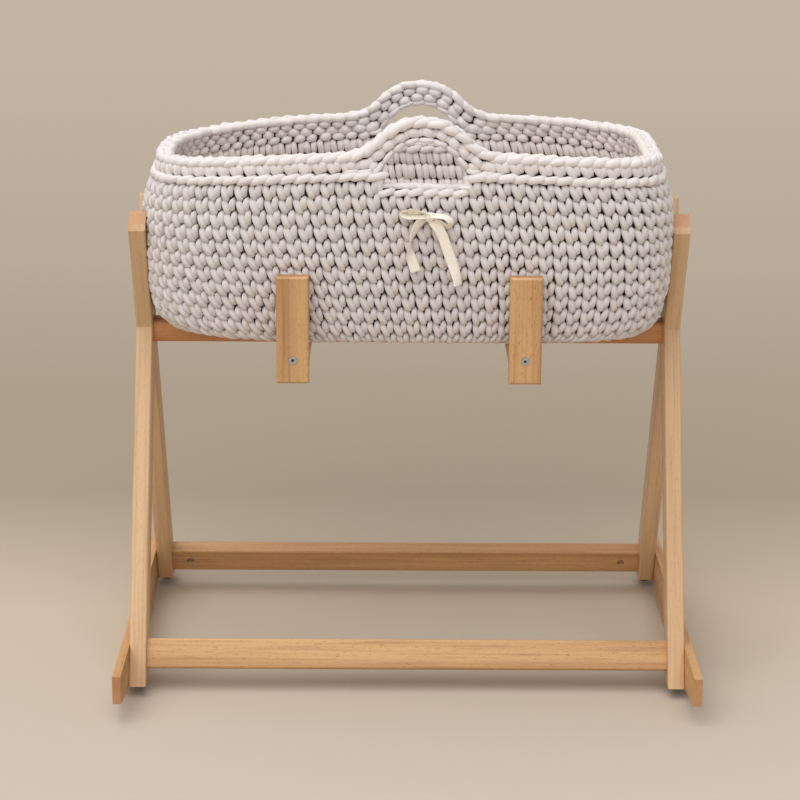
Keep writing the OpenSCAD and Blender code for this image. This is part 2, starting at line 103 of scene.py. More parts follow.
def superellipse(
    turn: np.ndarray, long: np.ndarray, wide: np.ndarray | float, full: np.ndarray,
) -> np.ndarray:
    """Points of a rounded oblong.

    Args:
        turn: Angles in radians.
        long: Half its length.
        wide: Half its width.
        full: Fullness of its corners, where 2 is an ellipse.

    Returns:
        One point in the plane a row.
    """
    c, s = np.cos(turn), np.sin(turn)
    reach = (np.abs(c / long) ** full + np.abs(s / wide) ** full) ** (-1 / full)
    return np.stack([reach * c, reach * s], axis=1)


def tube_faces(rings: int, sides: int) -> Faces:
    """Faces of a closed tube whose points lie ring after ring.

    Args:
        rings: Number of rings.
        sides: Points in a ring.

    Returns:
        Its side faces and two ends.
    """
    faces: Faces = []
    for ring in range(rings - 1):
        for side in range(sides):
            first, second = ring * sides + side, ring * sides + (side + 1) % sides
            faces.append((first, second, second + sides, first + sides))
    faces.append(tuple(range(sides - 1, -1, -1)))
    faces.append(tuple(range((rings - 1) * sides, rings * sides)))
    return faces


def linear(colour: Colour) -> tuple[float, float, float, float]:
    """Turns a colour as a screen shows it into the linear one that shaders take.

    Args:
        colour: Red, green and blue from 0 to 1.

    Returns:
        Linear red, green, blue and an alpha of 1.
    """
    low = [c / 12.92 if c <= 0.04045 else ((c + 0.055) / 1.055) ** 2.4 for c in colour]
    return (low[0], low[1], low[2], 1.0)


def deselect_all() -> None:
    """Leaves nothing selected, so that an operator acts on new geometry alone."""
    if bpy.context.object is not None and bpy.context.object.mode != "OBJECT":
        bpy.ops.object.mode_set(mode="OBJECT")
    bpy.ops.object.select_all(action="DESELECT")


class Socket:
    """Output of a shader node that takes part in Python expressions."""

    def __init__(self, graph: "Graph", output: bpy.types.NodeSocket) -> None:
        """Keeps the graph and the output."""
        self.graph = graph
        self.output = output

    def maths(self, operation: str, *values: "Socket | float") -> "Socket":
        """Adds one Math node.

        Args:
            operation: Blender's name of the operation.
            values: Its inputs, in order.

        Returns:
            The node's output.
        """
        return self.graph.node("ShaderNodeMath", {"operation": operation}, dict(enumerate(values)))

    def __add__(self, other: "Socket | float") -> "Socket":
        """Sum."""
        return self.maths("ADD", self, other)

    def __radd__(self, other: float) -> "Socket":
        """Sum, from the right."""
        return self.maths("ADD", other, self)

    def __sub__(self, other: "Socket | float") -> "Socket":
        """Difference."""
        return self.maths("SUBTRACT", self, other)

    def __rsub__(self, other: float) -> "Socket":
        """Difference, from the right."""
        return self.maths("SUBTRACT", other, self)

    def __mul__(self, other: "Socket | float") -> "Socket":
        """Product."""
        return self.maths("MULTIPLY", self, other)

    def __rmul__(self, other: float) -> "Socket":
        """Product, from the right."""
        return self.maths("MULTIPLY", other, self)

    def sine(self) -> "Socket":
        """Sine of an angle in radians."""
        return self.maths("SINE", self)

    def size(self) -> "Socket":
        """Value without its sign."""
        return self.maths("ABSOLUTE", self)

    def either(self, other: "Socket") -> "Socket":
        """Greater of two values."""
        return self.maths("MAXIMUM", self, other)

    def between(self, low: float, high: float) -> "Socket":
        """Smooth step that is 0 below low and 1 above high.

        Args:
            low: Value at which the step starts.
            high: Value at which it ends.

        Returns:
            The step's height.
        """
        settings = {"interpolation_type": "SMOOTHSTEP"}
        inputs = {"Value": self, "From Min": low, "From Max": high}
        return self.graph.node("ShaderNodeMapRange", settings, inputs)


class Graph:
    """Node graph of one material, or of the world."""

    def __init__(self, name: str, world: bool = False) -> None:
        """Starts an empty graph.

        Args:
            name: Name of the material or the world.
            world: Whether it is a world.
        """
        self.owner = bpy.data.worlds.new(name) if world else bpy.data.materials.new(name)
        self.owner.use_nodes = True
        self.tree = self.owner.node_tree
        self.tree.nodes.clear()

    def node(
        self,
        kind: str,
        settings: dict[str, object] | None = None,
        inputs: dict[str | int, object] | None = None,
        output: str | int = 0,
    ) -> Socket:
        """Adds one node.

        Args:
            kind: Blender's name of the node type.
            settings: Attributes of the node, and the stops of a colour ramp.
            inputs: Values or links of its sockets, by name or place.
            output: Name or place of the output that is returned.

        Returns:
            The chosen output.
        """
        made = self.tree.nodes.new(kind)
        for key, value in (settings or {}).items():
            if key == "stops":
                ramp = made.color_ramp
                while len(ramp.elements) < len(value):
                    ramp.elements.new(1.0)
                for element, (place, colour) in zip(ramp.elements, value):
                    element.position = place
                    element.color = colour
            else:
                setattr(made, key, value)
        for key, value in (inputs or {}).items():
            if isinstance(value, Socket):
                self.tree.links.new(value.output, made.inputs[key])
            else:
                made.inputs[key].default_value = value
        return Socket(self, made.outputs[output])

    def place(self) -> Socket:
        """Coordinates of the piece itself."""
        return self.node("ShaderNodeTexCoord", None, None, "Object")

    def strand(self) -> Socket:
        """Coordinates along and across a soft piece's yarn or tape."""
        return self.node("ShaderNodeAttribute", {"attribute_name": STRAND_ATTRIBUTE}, None, "Vector")

    def axis(self, place: Socket, name: str) -> Socket:
        """One axis of some coordinates."""
        return self.node("ShaderNodeSeparateXYZ", None, {0: place}, name)

    def noise(self, place: Socket, scale: float, detail: float = 2.0, roughness: float = 0.5) -> Socket:
        """Noise texture.

        Args:
            place: Coordinates.
            scale: Features per metre.
            detail: Number of octaves.
            roughness: Strength of the finer octaves.

        Returns:
            Values about a half.
        """
        inputs = {"Vector": place, "Scale": scale, "Detail": detail, "Roughness": roughness}
        return self.node("ShaderNodeTexNoise", None, inputs)

    def stretch(self, place: Socket, scale: Triple) -> Socket:
        """Coordinates multiplied along each axis."""
        return self.node("ShaderNodeVectorMath", {"operation": "MULTIPLY"}, {0: place, 1: scale})

    def mix(self, factor: Socket | float, first: object, second: object) -> Socket:
        """Mix of two colours.

        Args:
            factor: Share of the second colour.
            first: A colour or a link.
            second: A colour or a link.

        Returns:
            The mixed colour.
        """
        inputs = {0: factor, 6: first, 7: second}
        return self.node("ShaderNodeMix", {"data_type": "RGBA"}, inputs, 2)

    def mottle(self, factor: Socket, colour: Colour, share: float) -> Socket:
        """Colour mixed with a darker or lighter share of itself."""
        return self.mix(factor, linear(colour), linear(tuple(c * share for c in colour)))

    def bump(self, height: Socket, strength: float, distance: float) -> Socket:
        """Normal bent by a height.

        Args:
            height: Height from 0 to 1.
            strength: Share of the effect.
            distance: Real depth in metres.

        Returns:
            The normal.
        """
        inputs = {"Strength": strength, "Distance": distance, "Height": height}
        return self.node("ShaderNodeBump", None, inputs)

    def surface(self, inputs: dict[str, object]) -> bpy.types.Material:
        """Closes the graph with a principled shader.

        Args:
            inputs: Values or links of the shader's sockets.

        Returns:
            The finished material.
        """
        self.close("ShaderNodeOutputMaterial", self.node("ShaderNodeBsdfPrincipled", None, inputs))
        return self.owner

    def close(self, kind: str, shader: Socket) -> None:
        """Links a shader to an output node of the given kind."""
        self.tree.links.new(shader.output, self.tree.nodes.new(kind).inputs["Surface"])


@dataclass(frozen=True)
class Finish:
    """What finishes share: an uneven sheen and a fine relief."""

    roughness: float = 0.85
    roughness_spread: float = 0.1
    specular: float = 0.5
    relief: float = 0.3
    relief_depth: float = 0.0002

    def surface(
        self, graph: Graph, colour: Socket, grain: Socket, height: Socket,
        more: dict[str, float] | None = None,
    ) -> bpy.types.Material:
        """Closes a graph with the finish's sheen and relief.

        Args:
            graph: The graph.
            colour: Its colour.
            grain: Texture that makes the sheen uneven.
            height: Texture that makes the relief.
            more: Other inputs of the shader.

        Returns:
            The finished material.
        """
        return graph.surface({
            "Base Color": colour,
            "Roughness": self.roughness + self.roughness_spread * grain,
            "Specular IOR Level": self.specular,
            "Normal": graph.bump(height, self.relief, self.relief_depth),
            **(more or {})})


@dataclass(frozen=True)
class BeechFinish(Finish):
    """Planed beech under clear satin lacquer: pinkish tan with fine streaks and short dark flecks."""

    pale: Colour = (0.840, 0.695, 0.530)
    tan: Colour = (0.785, 0.632, 0.462)
    brown: Colour = (0.570, 0.395, 0.255)
    end: Colour = (0.690, 0.475, 0.320)
    tone_scale: Triple = (1.1, 26.0, 26.0)
    streak_scale: Triple = (6.0, 260.0, 260.0)
    fleck_scale: Triple = (120.0, 850.0, 850.0)
    tone_step: Pair = (0.32, 0.68)
    streak_step: Pair = (0.42, 0.80)
    fleck_step: Pair = (0.62, 0.70)
    end_step: Pair = (0.80, 0.97)
    streak_share: float = 0.34
    fleck_share: float = 0.30
    end_share: float = 0.6
    fleck_depth: float = 0.5
    roughness: float = 0.42
    roughness_spread: float = 0.16
    relief: float = 0.25
    relief_depth: float = 0.0003
    coat: float = 0.12
    coat_roughness: float = 0.3
    board_step: Triple = (1.0, 0.37, 0.61)

    def material(self, name: str, grain: Vector, seed: float) -> bpy.types.Material:
        """Beech with its grain along a direction.

        Args:
            name: Name of the material.
            grain: Direction of the grain.
            seed: Place in the tree that the piece was cut from.

        Returns:
            The material.
        """
        graph = Graph(name)
        turn = grain.rotation_difference(Vector((1, 0, 0))).to_euler()
        board = tuple(seed * step for step in self.board_step)
        along = graph.node(
            "ShaderNodeMapping", None, {"Vector": graph.place(), "Location": board, "Rotation": turn})
        tone = graph.noise(graph.stretch(along, self.tone_scale), 1.0)
        streak = graph.noise(graph.stretch(along, self.streak_scale), 1.0, detail=4.0, roughness=0.6)
        fleck = graph.noise(graph.stretch(along, self.fleck_scale), 1.0, detail=1.0)
        ground = graph.mix(tone.between(*self.tone_step), linear(self.pale), linear(self.tan))
        streaks = streak.between(*self.streak_step) * self.streak_share
        flecks = fleck.between(*self.fleck_step) * self.fleck_share
        plain = graph.mix(flecks, graph.mix(streaks, ground, linear(self.brown)), linear(self.brown))
        normal = graph.node("ShaderNodeNewGeometry", None, None, "Normal")
        facing = graph.node(
            "ShaderNodeVectorMath", {"operation": "DOT_PRODUCT"}, {0: normal, 1: grain}, "Value")
        end_grain = facing.size().between(*self.end_step) * self.end_share
        colour = graph.mix(end_grain, plain, linear(self.end))
        coat = {"Coat Weight": self.coat, "Coat Roughness": self.coat_roughness}
        return self.surface(graph, colour, streak, streak - self.fleck_depth * flecks, coat)


class BoltAxis(Enum):
    """Axis along which a set of bolts runs."""

    LENGTHWAYS = "X"
    CROSSWAYS = "Y"


@dataclass(frozen=True)
class ZincFinish(Finish):
    """Bright zinc plate, a little clouded, with shade painted dark in the sockets."""

    colour: Colour = (0.80, 0.84, 0.87)
    dull_share: float = 0.8
    cloud_scale: float = 900.0
    cloud_step: Pair = (0.3, 0.7)
    socket_shade: Colour = (0.27, 0.29, 0.31)
    socket_shade_step: Pair = (0.0003, 0.0009)
    roughness: float = 0.24
    roughness_spread: float = 0.28
    relief: float = 0.12

    def material(self, name: str, axis: BoltAxis | None = None, face: float = 0.0) -> bpy.types.Material:
        """Plate for one set of fittings.

        Args:
            name: Name of the material.
            axis: Axis of the bolts, or None where the fittings have no sockets.
            face: Distance of the heads' faces from the middle of the stand.

        Returns:
            The material.
        """
        graph = Graph(name)
        place = graph.place()
        cloud = graph.noise(place, self.cloud_scale, detail=3.0)
        colour = graph.mottle(cloud.between(*self.cloud_step), self.colour, self.dull_share)
        if axis is not None:
            # Painted shade: the sockets' recess is painted dark by its depth below the heads' faces
            depth = face - graph.axis(place, axis.value).size()
            colour = graph.mix(depth.between(*self.socket_shade_step), colour, linear(self.socket_shade))
        return self.surface(graph, colour, cloud, cloud, {"Metallic": 1.0})


@dataclass(frozen=True)
class RubberFinish(Finish):
    """Matt dark rubber with a fine grain."""

    colour: Colour = (0.15, 0.14, 0.14)
    dusty_share: float = 1.5
    grain_scale: float = 2200.0
    grain_step: Pair = (0.35, 0.8)
    roughness: float = 0.72
    roughness_spread: float = 0.2

    def material(self, name: str) -> bpy.types.Material:
        """Rubber of the pads.

        Args:
            name: Name of the material.

        Returns:
            The material.
        """
        graph = Graph(name)
        grain = graph.noise(graph.place(), self.grain_scale)
        colour = graph.mottle(grain.between(*self.grain_step), self.colour, self.dusty_share)
        return self.surface(graph, colour, grain, grain)


@dataclass(frozen=True)
class YarnFinish(Finish):
    """Soft jersey yarn: matt lilac grey, with faint ribs along each strand and small changes of tone."""

    pale: Colour = (0.887, 0.857, 0.850)
    shade: Colour = (0.827, 0.793, 0.787)
    cream: Colour = (0.882, 0.852, 0.825)
    cream_share: float = 0.6
    cream_step: Pair = (1.0, 1.3)
    cream_cloud: float = 0.5
    ribs: float = 16.0
    rib_twist: float = 5.0
    rib_wander: float = 3.0
    cloud_scale: float = 60.0
    cloud_step: Pair = (0.3, 0.7)
    fuzz_scale: float = 1500.0
    wander_scale: float = 260.0
    crease_scale: Triple = (1.6, 9.0, 40.0)
    tone_weight: float = 0.5
    cloud_weight: float = 0.35
    fuzz_weight: float = 0.2
    crease_height: float = 2.2
    rib_height: float = 0.16
    fuzz_height: float = 0.9
    roughness: float = 0.86
    specular: float = 0.25
    relief: float = 0.45
    relief_depth: float = 0.0007
    sheen: float = 0.04
    sheen_roughness: float = 0.5

    def material(self, name: str) -> bpy.types.Material:
        """Yarn that reads each strand's own coordinates.

        Args:
            name: Name of the material.

        Returns:
            The material.
        """
        graph = Graph(name)
        strand, place = graph.strand(), graph.place()
        along, around, tone = (graph.axis(strand, axis) for axis in "XYZ")
        cloud = graph.noise(place, self.cloud_scale, detail=3.0)
        fuzz = graph.noise(place, self.fuzz_scale, detail=3.0, roughness=0.65)
        wander = graph.noise(place, self.wander_scale, detail=1.0)
        crease = graph.noise(graph.stretch(strand, self.crease_scale), 1.0)
        turns = around * (self.ribs * 2 * math.pi)
        rib = (turns + along * self.rib_twist + wander * self.rib_wander).sine()
        clouds = cloud.between(*self.cloud_step) * self.cloud_weight
        lilac = graph.mix(
            tone * self.tone_weight + clouds + fuzz * self.fuzz_weight, linear(self.pale), linear(self.shade))
        creamy = (tone + cloud * self.cream_cloud).between(*self.cream_step) * self.cream_share
        colour = graph.mix(creamy, lilac, linear(self.cream))
        height = crease * self.crease_height + rib * self.rib_height + fuzz * self.fuzz_height
        sheen = {"Sheen Weight": self.sheen, "Sheen Roughness": self.sheen_roughness}
        return self.surface(graph, colour, fuzz, height, sheen)


@dataclass(frozen=True)
class PaintedShadeFinish:
    """Painted shade: dark colour on the cores, seen only in the gaps between stitches, where the fabric is in
    shade.
    """

    # Painted shade, far darker than the yarn's own tone
    colour: Colour = (0.30, 0.265, 0.255)
    shade_patch_share: float = 0.7
    cloud_scale: float = 140.0
    cloud_step: Pair = (0.3, 0.7)
    roughness: float = 0.95
    specular: float = 0.1
    relief: float = 0.5
    relief_depth: float = 0.001

    def material(self, name: str) -> bpy.types.Material:
        """Painted shade for the cores.

        Args:
            name: Name of the material.

        Returns:
            The material.
        """
        graph = Graph(name)
        cloud = graph.noise(graph.place(), self.cloud_scale, detail=3.0)
        return graph.surface({
            "Base Color": graph.mottle(cloud.between(*self.cloud_step), self.colour, self.shade_patch_share),
            "Roughness": self.roughness,
            "Specular IOR Level": self.specular,
            "Normal": graph.bump(cloud, self.relief, self.relief_depth)})


@dataclass(frozen=True)
class TapeFinish(Finish):
    """Unbleached cotton tape in a plain weave, with small changes of tone."""

    pale: Colour = (0.995, 0.965, 0.915)
    shade: Colour = (0.955, 0.918, 0.850)
    least_shade: float = 0.1
    threads_per_metre: float = 1700.0
    weave_weight: float = 0.2
    weave_height: float = 0.5
    cloud_scale: float = 220.0
    cloud_step: Pair = (0.3, 0.75)
    cloud_weight: float = 0.6
    specular: float = 0.25
    relief_depth: float = 0.0004

    def material(self, name: str) -> bpy.types.Material:
        """Tape that reads its own length and width.

        Args:
            name: Name of the material.

        Returns:
            The material.
        """
        graph = Graph(name)
        strand = graph.strand()
        along, across = (graph.axis(strand, axis) for axis in "XY")
        pitch = self.threads_per_metre * math.pi
        weave = (along * pitch).sine() * (across * pitch).sine()
        cloud = graph.noise(graph.place(), self.cloud_scale, detail=3.0)
        clouds = cloud.between(*self.cloud_step) * self.cloud_weight
        depth = clouds + weave * self.weave_weight + self.least_shade
        colour = graph.mix(depth, linear(self.pale), linear(self.shade))
        return self.surface(graph, colour, cloud, weave * self.weave_height + cloud)


@dataclass(frozen=True)
class FloorFinish:
    """Plain pale studio floor with painted light and shade: paler in front and a band of painted shade behind
    the object.
    """

    # Distance behind the object's middle in metres, and the tone there, with painted light and shade in it:
    # paler in front, darker in a band behind
    tones: tuple[tuple[float, Colour], ...] = (
        (-0.5, (0.762, 0.718, 0.663)), (0.1, (0.755, 0.699, 0.627)), (0.7, (0.618, 0.567, 0.497)),
        (1.3, (0.620, 0.568, 0.500)), (2.6, (0.660, 0.613, 0.552)), (6.0, (0.696, 0.650, 0.591)))
    roughness: float = 0.9
    specular: float = 0.1

    def material(self, name: str) -> bpy.types.Material:
        """Floor whose painted light and shade change its tone from front to back.

        Args:
            name: Name of the material.

        Returns:
            The material.
        """
        graph = Graph(name)
        first, last = self.tones[0][0], self.tones[-1][0]
        share = (graph.axis(graph.place(), "Y") - first) * (1 / (last - first))
        stops = [((y - first) / (last - first), linear(tone)) for y, tone in self.tones]
        return graph.surface({
            "Base Color": graph.node("ShaderNodeValToRGB", {"stops": stops}, {0: share}),
            "Roughness": self.roughness,
            "Specular IOR Level": self.specular})


class Grain(Enum):
    """Direction in which a piece of timber was cut."""

    LENGTHWAYS = (1.0, 0.0, 0.0)
    CROSSWAYS = (0.0, 1.0, 0.0)
    UPRIGHT = (0.0, 0.0, 1.0)
    FRONT_LEG = (0.0, math.sin(LEG_LEAN), math.cos(LEG_LEAN))
    REAR_LEG = (0.0, -math.sin(LEG_LEAN), math.cos(LEG_LEAN))


@dataclass
class Stand:
    """Beech frame with its fittings, all made by the frame and dressed here."""

    leg_beech: BeechFinish = BeechFinish()
    rail_beech: BeechFinish = BeechFinish(
        pale=(0.825, 0.645, 0.440), tan=(0.715, 0.530, 0.335), brown=(0.540, 0.355, 0.210),
        fleck_share=0.52, streak_share=0.50)
    spine_beech: BeechFinish = BeechFinish(
        pale=(0.848, 0.602, 0.388), tan=(0.766, 0.520, 0.316), brown=(0.557, 0.347, 0.197))
    zinc: ZincFinish = ZincFinish()
    rubber: RubberFinish = RubberFinish()
    # Timber by its grain, in the order in which its boards follow each other
    timber: tuple[tuple[Grain, tuple[str, ...]], ...] = (
        (Grain.FRONT_LEG, ("left_front_leg", "right_front_leg")),
        (Grain.REAR_LEG, ("left_rear_leg", "right_rear_leg")),
        (Grain.CROSSWAYS, ("left_rocker", "right_rocker")),
        (Grain.LENGTHWAYS, ("front_stretcher", "rear_stretcher", "spine_rail")),
        (Grain.CROSSWAYS, ("left_cross_bar", "right_cross_bar")),
        (Grain.UPRIGHT, UPRIGHTS),
        (Grain.LENGTHWAYS, ("stretcher_dowels", "spine_dowels")),
        (Grain.CROSSWAYS, ("upright_dowels",)))
    bolts: tuple[tuple[str, BoltAxis], ...] = (
        ("stretcher_bolts", BoltAxis.LENGTHWAYS), ("spine_bolts", BoltAxis.LENGTHWAYS),
        ("upright_bolts", BoltAxis.CROSSWAYS))
    nuts: tuple[str, ...] = ("stretcher_nuts", "spine_nuts", "upright_nuts", "lap_screws")
    pads: str = "foot_pads"
    first_board: float = 0.4
    board_pitch: float = 1.7

    def dress(self) -> None:
        """Gives every node of the stand its finish."""
        pieces = [(name, grain) for grain, names in self.timber for name in names]
        for place, (name, grain) in enumerate(pieces):
            beech = self.leg_beech if name.endswith("_leg") else self.rail_beech
            beech = self.spine_beech if name == "spine_rail" else beech
            board = self.board_pitch * place + self.first_board
            self.paint(name, beech.material(f"beech_{name}", Vector(grain.value), board))
        for name, axis in self.bolts:
            face = max(getattr(corner, axis.value.lower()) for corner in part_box(name))
            self.paint(name, self.zinc.material(f"zinc_{name}", axis, face))
        plate = self.zinc.material("zinc_plate")
        for name in self.nuts:
            self.paint(name, plate)
        self.paint(self.pads, self.rubber.material("pad_rubber"))

    @staticmethod
    def paint(name: str, material: bpy.types.Material) -> None:
        """Puts a material on one node of the frame.

        Args:
            name: Name of the node.
            material: Its material.
        """
        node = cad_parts[name]
        node.data.materials.clear()
        node.data.materials.append(material)
        log.info("dressed %s", name)


@dataclass
class BasketForm:
    """Outer surface of the basket, by distance round it and rise up its wall."""

    low: Vector
    high: Vector
    left_fullness: float = 3.1
    right_fullness: float = 4.6
    rim_height: float = 0.280
    left_dip: float = 0.024
    right_dip: float = 0.017
    right_draw: float = 0.006
    dip_power: float = 1.4
    wall: float = 0.022
    floor: float = 0.018
    crossing: float = 0.5055
    leg_width: float = 0.046
    arm_top: float = 0.700
    clearance: float = 0.0004
    margin: float = 0.001
    nudge: float = 1e-4
    belly_height: float = 0.17
    table_rows: int = 600
    turn_count: int = 4097

    # Height above the seat, and how far the wall draws in there at the sides and at the ends
    profile: tuple[Triple, ...] = (
        (0.000, 0.043, 0.054), (0.003, 0.032, 0.041), (0.011, 0.024, 0.028), (0.022, 0.020, 0.019),
        (0.056, 0.012, 0.008), (0.098, 0.005, 0.002), (0.145, 0.000, 0.000), (0.196, 0.000, 0.000),
        (0.220, 0.0005, 0.005), (0.237, 0.0015, 0.010), (0.251, 0.003, 0.0155), (0.265, 0.005, 0.020),
        (0.280, 0.006, 0.023), (0.360, 0.006, 0.023))
    # Row of the profile at which the rise along the wall equals the height
    level_row: int = 3

    def __post_init__(self) -> None:
        """Works out the sizes and the tables of the surface."""
        self.half_length = (self.high.x - self.low.x) / 2
        self.half_width = (self.high.y - self.low.y) / 2
        self.seat = self.low.z
        keys = np.array(self.profile)
        chord = lengths_along(keys[:, :2])
        self.table = smooth_line(keys, chord, np.linspace(0, chord[-1], self.table_rows))
        run = lengths_along(self.table[:, :2])
        level = keys[self.level_row, 0]
        self.rises = run + (level - np.interp(level, self.table[:, 0], run))
        self.turns = np.linspace(0, 2 * math.pi, self.turn_count)
        belly = np.full_like(self.turns, self.rise_at(self.belly_height))
        self.arcs = lengths_along(self.outline(self.turns, belly))
        self.girth = float(self.arcs[-1])

    def rise_at(self, height: float) -> float:
        """Rise along the wall at a height above the seat."""
        return float(np.interp(height, self.table[:, 0], self.rises))

    def arc_at(self, x: float, front: bool) -> float:
        """Distance round the belly at a place along the front or the back."""
        middle = np.interp(1.5 * math.pi if front else 0.5 * math.pi, self.turns, self.arcs)
        return float(middle + (x if front else -x))

    def apart(self, arc: np.ndarray, centre: float) -> np.ndarray:
        """Distances round the belly from a place, the short way."""
        return np.abs((arc - centre + self.girth / 2) % self.girth - self.girth / 2)

    def outline(self, turn: np.ndarray, rise: np.ndarray) -> np.ndarray:
        """Points of the surface at turns about the upright axis.

        Args:
            turn: Angles in radians.
            rise: Rises along the wall.

        Returns:
            One point a row.
        """
        height = np.interp(rise, self.rises, self.table[:, 0])
        beyond = np.maximum(0, rise - self.rises[-1])
        below = np.maximum(0, self.rises[0] - rise)
        wide = self.half_width - np.interp(rise, self.rises, self.table[:, 1]) - below
        long = self.half_length - np.interp(rise, self.rises, self.table[:, 2]) - below
        lift = np.clip(height / self.rim_height, 0, 1)
        long, full = self.end_shape(turn, long)
        x, y = superellipse(turn, long, wide, full).T
        end_dip = np.where(np.cos(turn) > 0, self.right_dip, self.left_dip)
        dip = end_dip * lift * np.abs(x / long) ** self.dip_power
        return np.stack([x, y, self.seat + height + beyond - dip], axis=1)

    def end_shape(self, turn: np.ndarray, long: np.ndarray | float) -> tuple[np.ndarray, np.ndarray]:
        """Half lengths and fullness at some turns, which differ from the left end to the right.

        Args:
            turn: Angles in radians.
            long: Half the length, before the right end draws in.

        Returns:
            Half lengths and fullness.
        """
        right = np.cos(turn) > 0
        return (
            long - np.where(right, self.right_draw, 0),
            np.where(right, self.right_fullness, self.left_fullness))

    def point(self, arc: np.ndarray, rise: np.ndarray, out: np.ndarray) -> np.ndarray:
        """Points off the surface.

        Args:
            arc: Distances round the belly, counted anticlockwise seen from above.
            rise: Rises along the wall.
            out: Distances out from the surface.

        Returns:
            One point a row.
        """
        turn = np.interp(arc % self.girth, self.arcs, self.turns)
        across = self.outline(turn + self.nudge, rise) - self.outline(turn - self.nudge, rise)
        up = self.outline(turn, rise + self.nudge) - self.outline(turn, rise - self.nudge)
        normal = np.cross(across, up)
        normal /= np.linalg.norm(normal, axis=1)[:, None]
        return self.outline(turn, rise) + normal * out[:, None]

    def press(self, points: np.ndarray) -> np.ndarray:
        """Flattens the soft fabric against the uprights and the crossed arms.

        Args:
            points: One point a row.

        Returns:
            The points, moved clear of the timber.
        """
        x, y, z = points[:, 0].copy(), points[:, 1].copy(), points[:, 2]
        for name in UPRIGHTS:
            low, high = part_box(name)
            beside = (x > low.x - self.margin) & (x < high.x + self.margin) & (z < high.z + self.margin)
            if low.y > 0:
                y = np.where(beside, np.minimum(y, low.y - self.clearance), y)
            else:
                y = np.where(beside, np.maximum(y, high.y + self.clearance), y)
        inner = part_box("left_front_leg")[1].x
        crook = (z - self.crossing) * math.tan(LEG_LEAN) - self.leg_width / 2 / math.cos(LEG_LEAN)
        held = (np.abs(y) > crook - self.margin) & (z < self.arm_top)
        limit = abs(inner) - self.clearance
        x = np.where(held, np.clip(x, -limit, limit), x)
        return np.stack([x, y, np.maximum(z, self.seat + self.clearance / 2)], axis=1)


class Course(ABC):
    """Line along which stitches are worked."""

    length: float

    @abstractmethod
    def at(self, along: np.ndarray, up: np.ndarray, out: np.ndarray) -> np.ndarray:
        """Points beside the line.

        Args:
            along: Distances along the line.
            up: Distances across the fabric.
            out: Distances out of the fabric.

        Returns:
            One point a row.
        """


@dataclass
class WallCourse(Course):
    """Round of the wall, worked from the outside or the inside."""

    form: BasketForm
    rise: float
    inside: bool = False

    def __post_init__(self) -> None:
        """A round is as long as the girth."""
        self.length = self.form.girth

    def arc(self, along: np.ndarray) -> np.ndarray:
        """Distances round the belly, which run the other way inside."""
        return self.form.girth - along if self.inside else along

    def at(self, along: np.ndarray, up: np.ndarray, out: np.ndarray) -> np.ndarray:
        """Points on the wall, seen from the side that is worked."""
        depth = -self.form.wall - out if self.inside else out
        return self.form.point(self.arc(along), self.rise + up, depth)


class LineCourse(Course):
    """Course along a closed line of points in a plane."""

    inside: bool
    step: float

    def close(self, line: np.ndarray) -> None:
        """Keeps the line and its length."""
        self.line, self.run = line, lengths_along(line)
        self.length = float(self.run[-1])

    def spots(self, along: np.ndarray) -> list[np.ndarray]:
        """Points of the line a step behind some distances, at them and a step ahead.

        Args:
            along: Distances along the course, which runs the other way inside.

        Returns:
            Three sets of points, one a row.
        """
        place = (self.length - along if self.inside else along) % self.length
        return [
            read_line(self.line, self.run, (place + shift) % self.length)
            for shift in (-self.step, 0.0, self.step)]


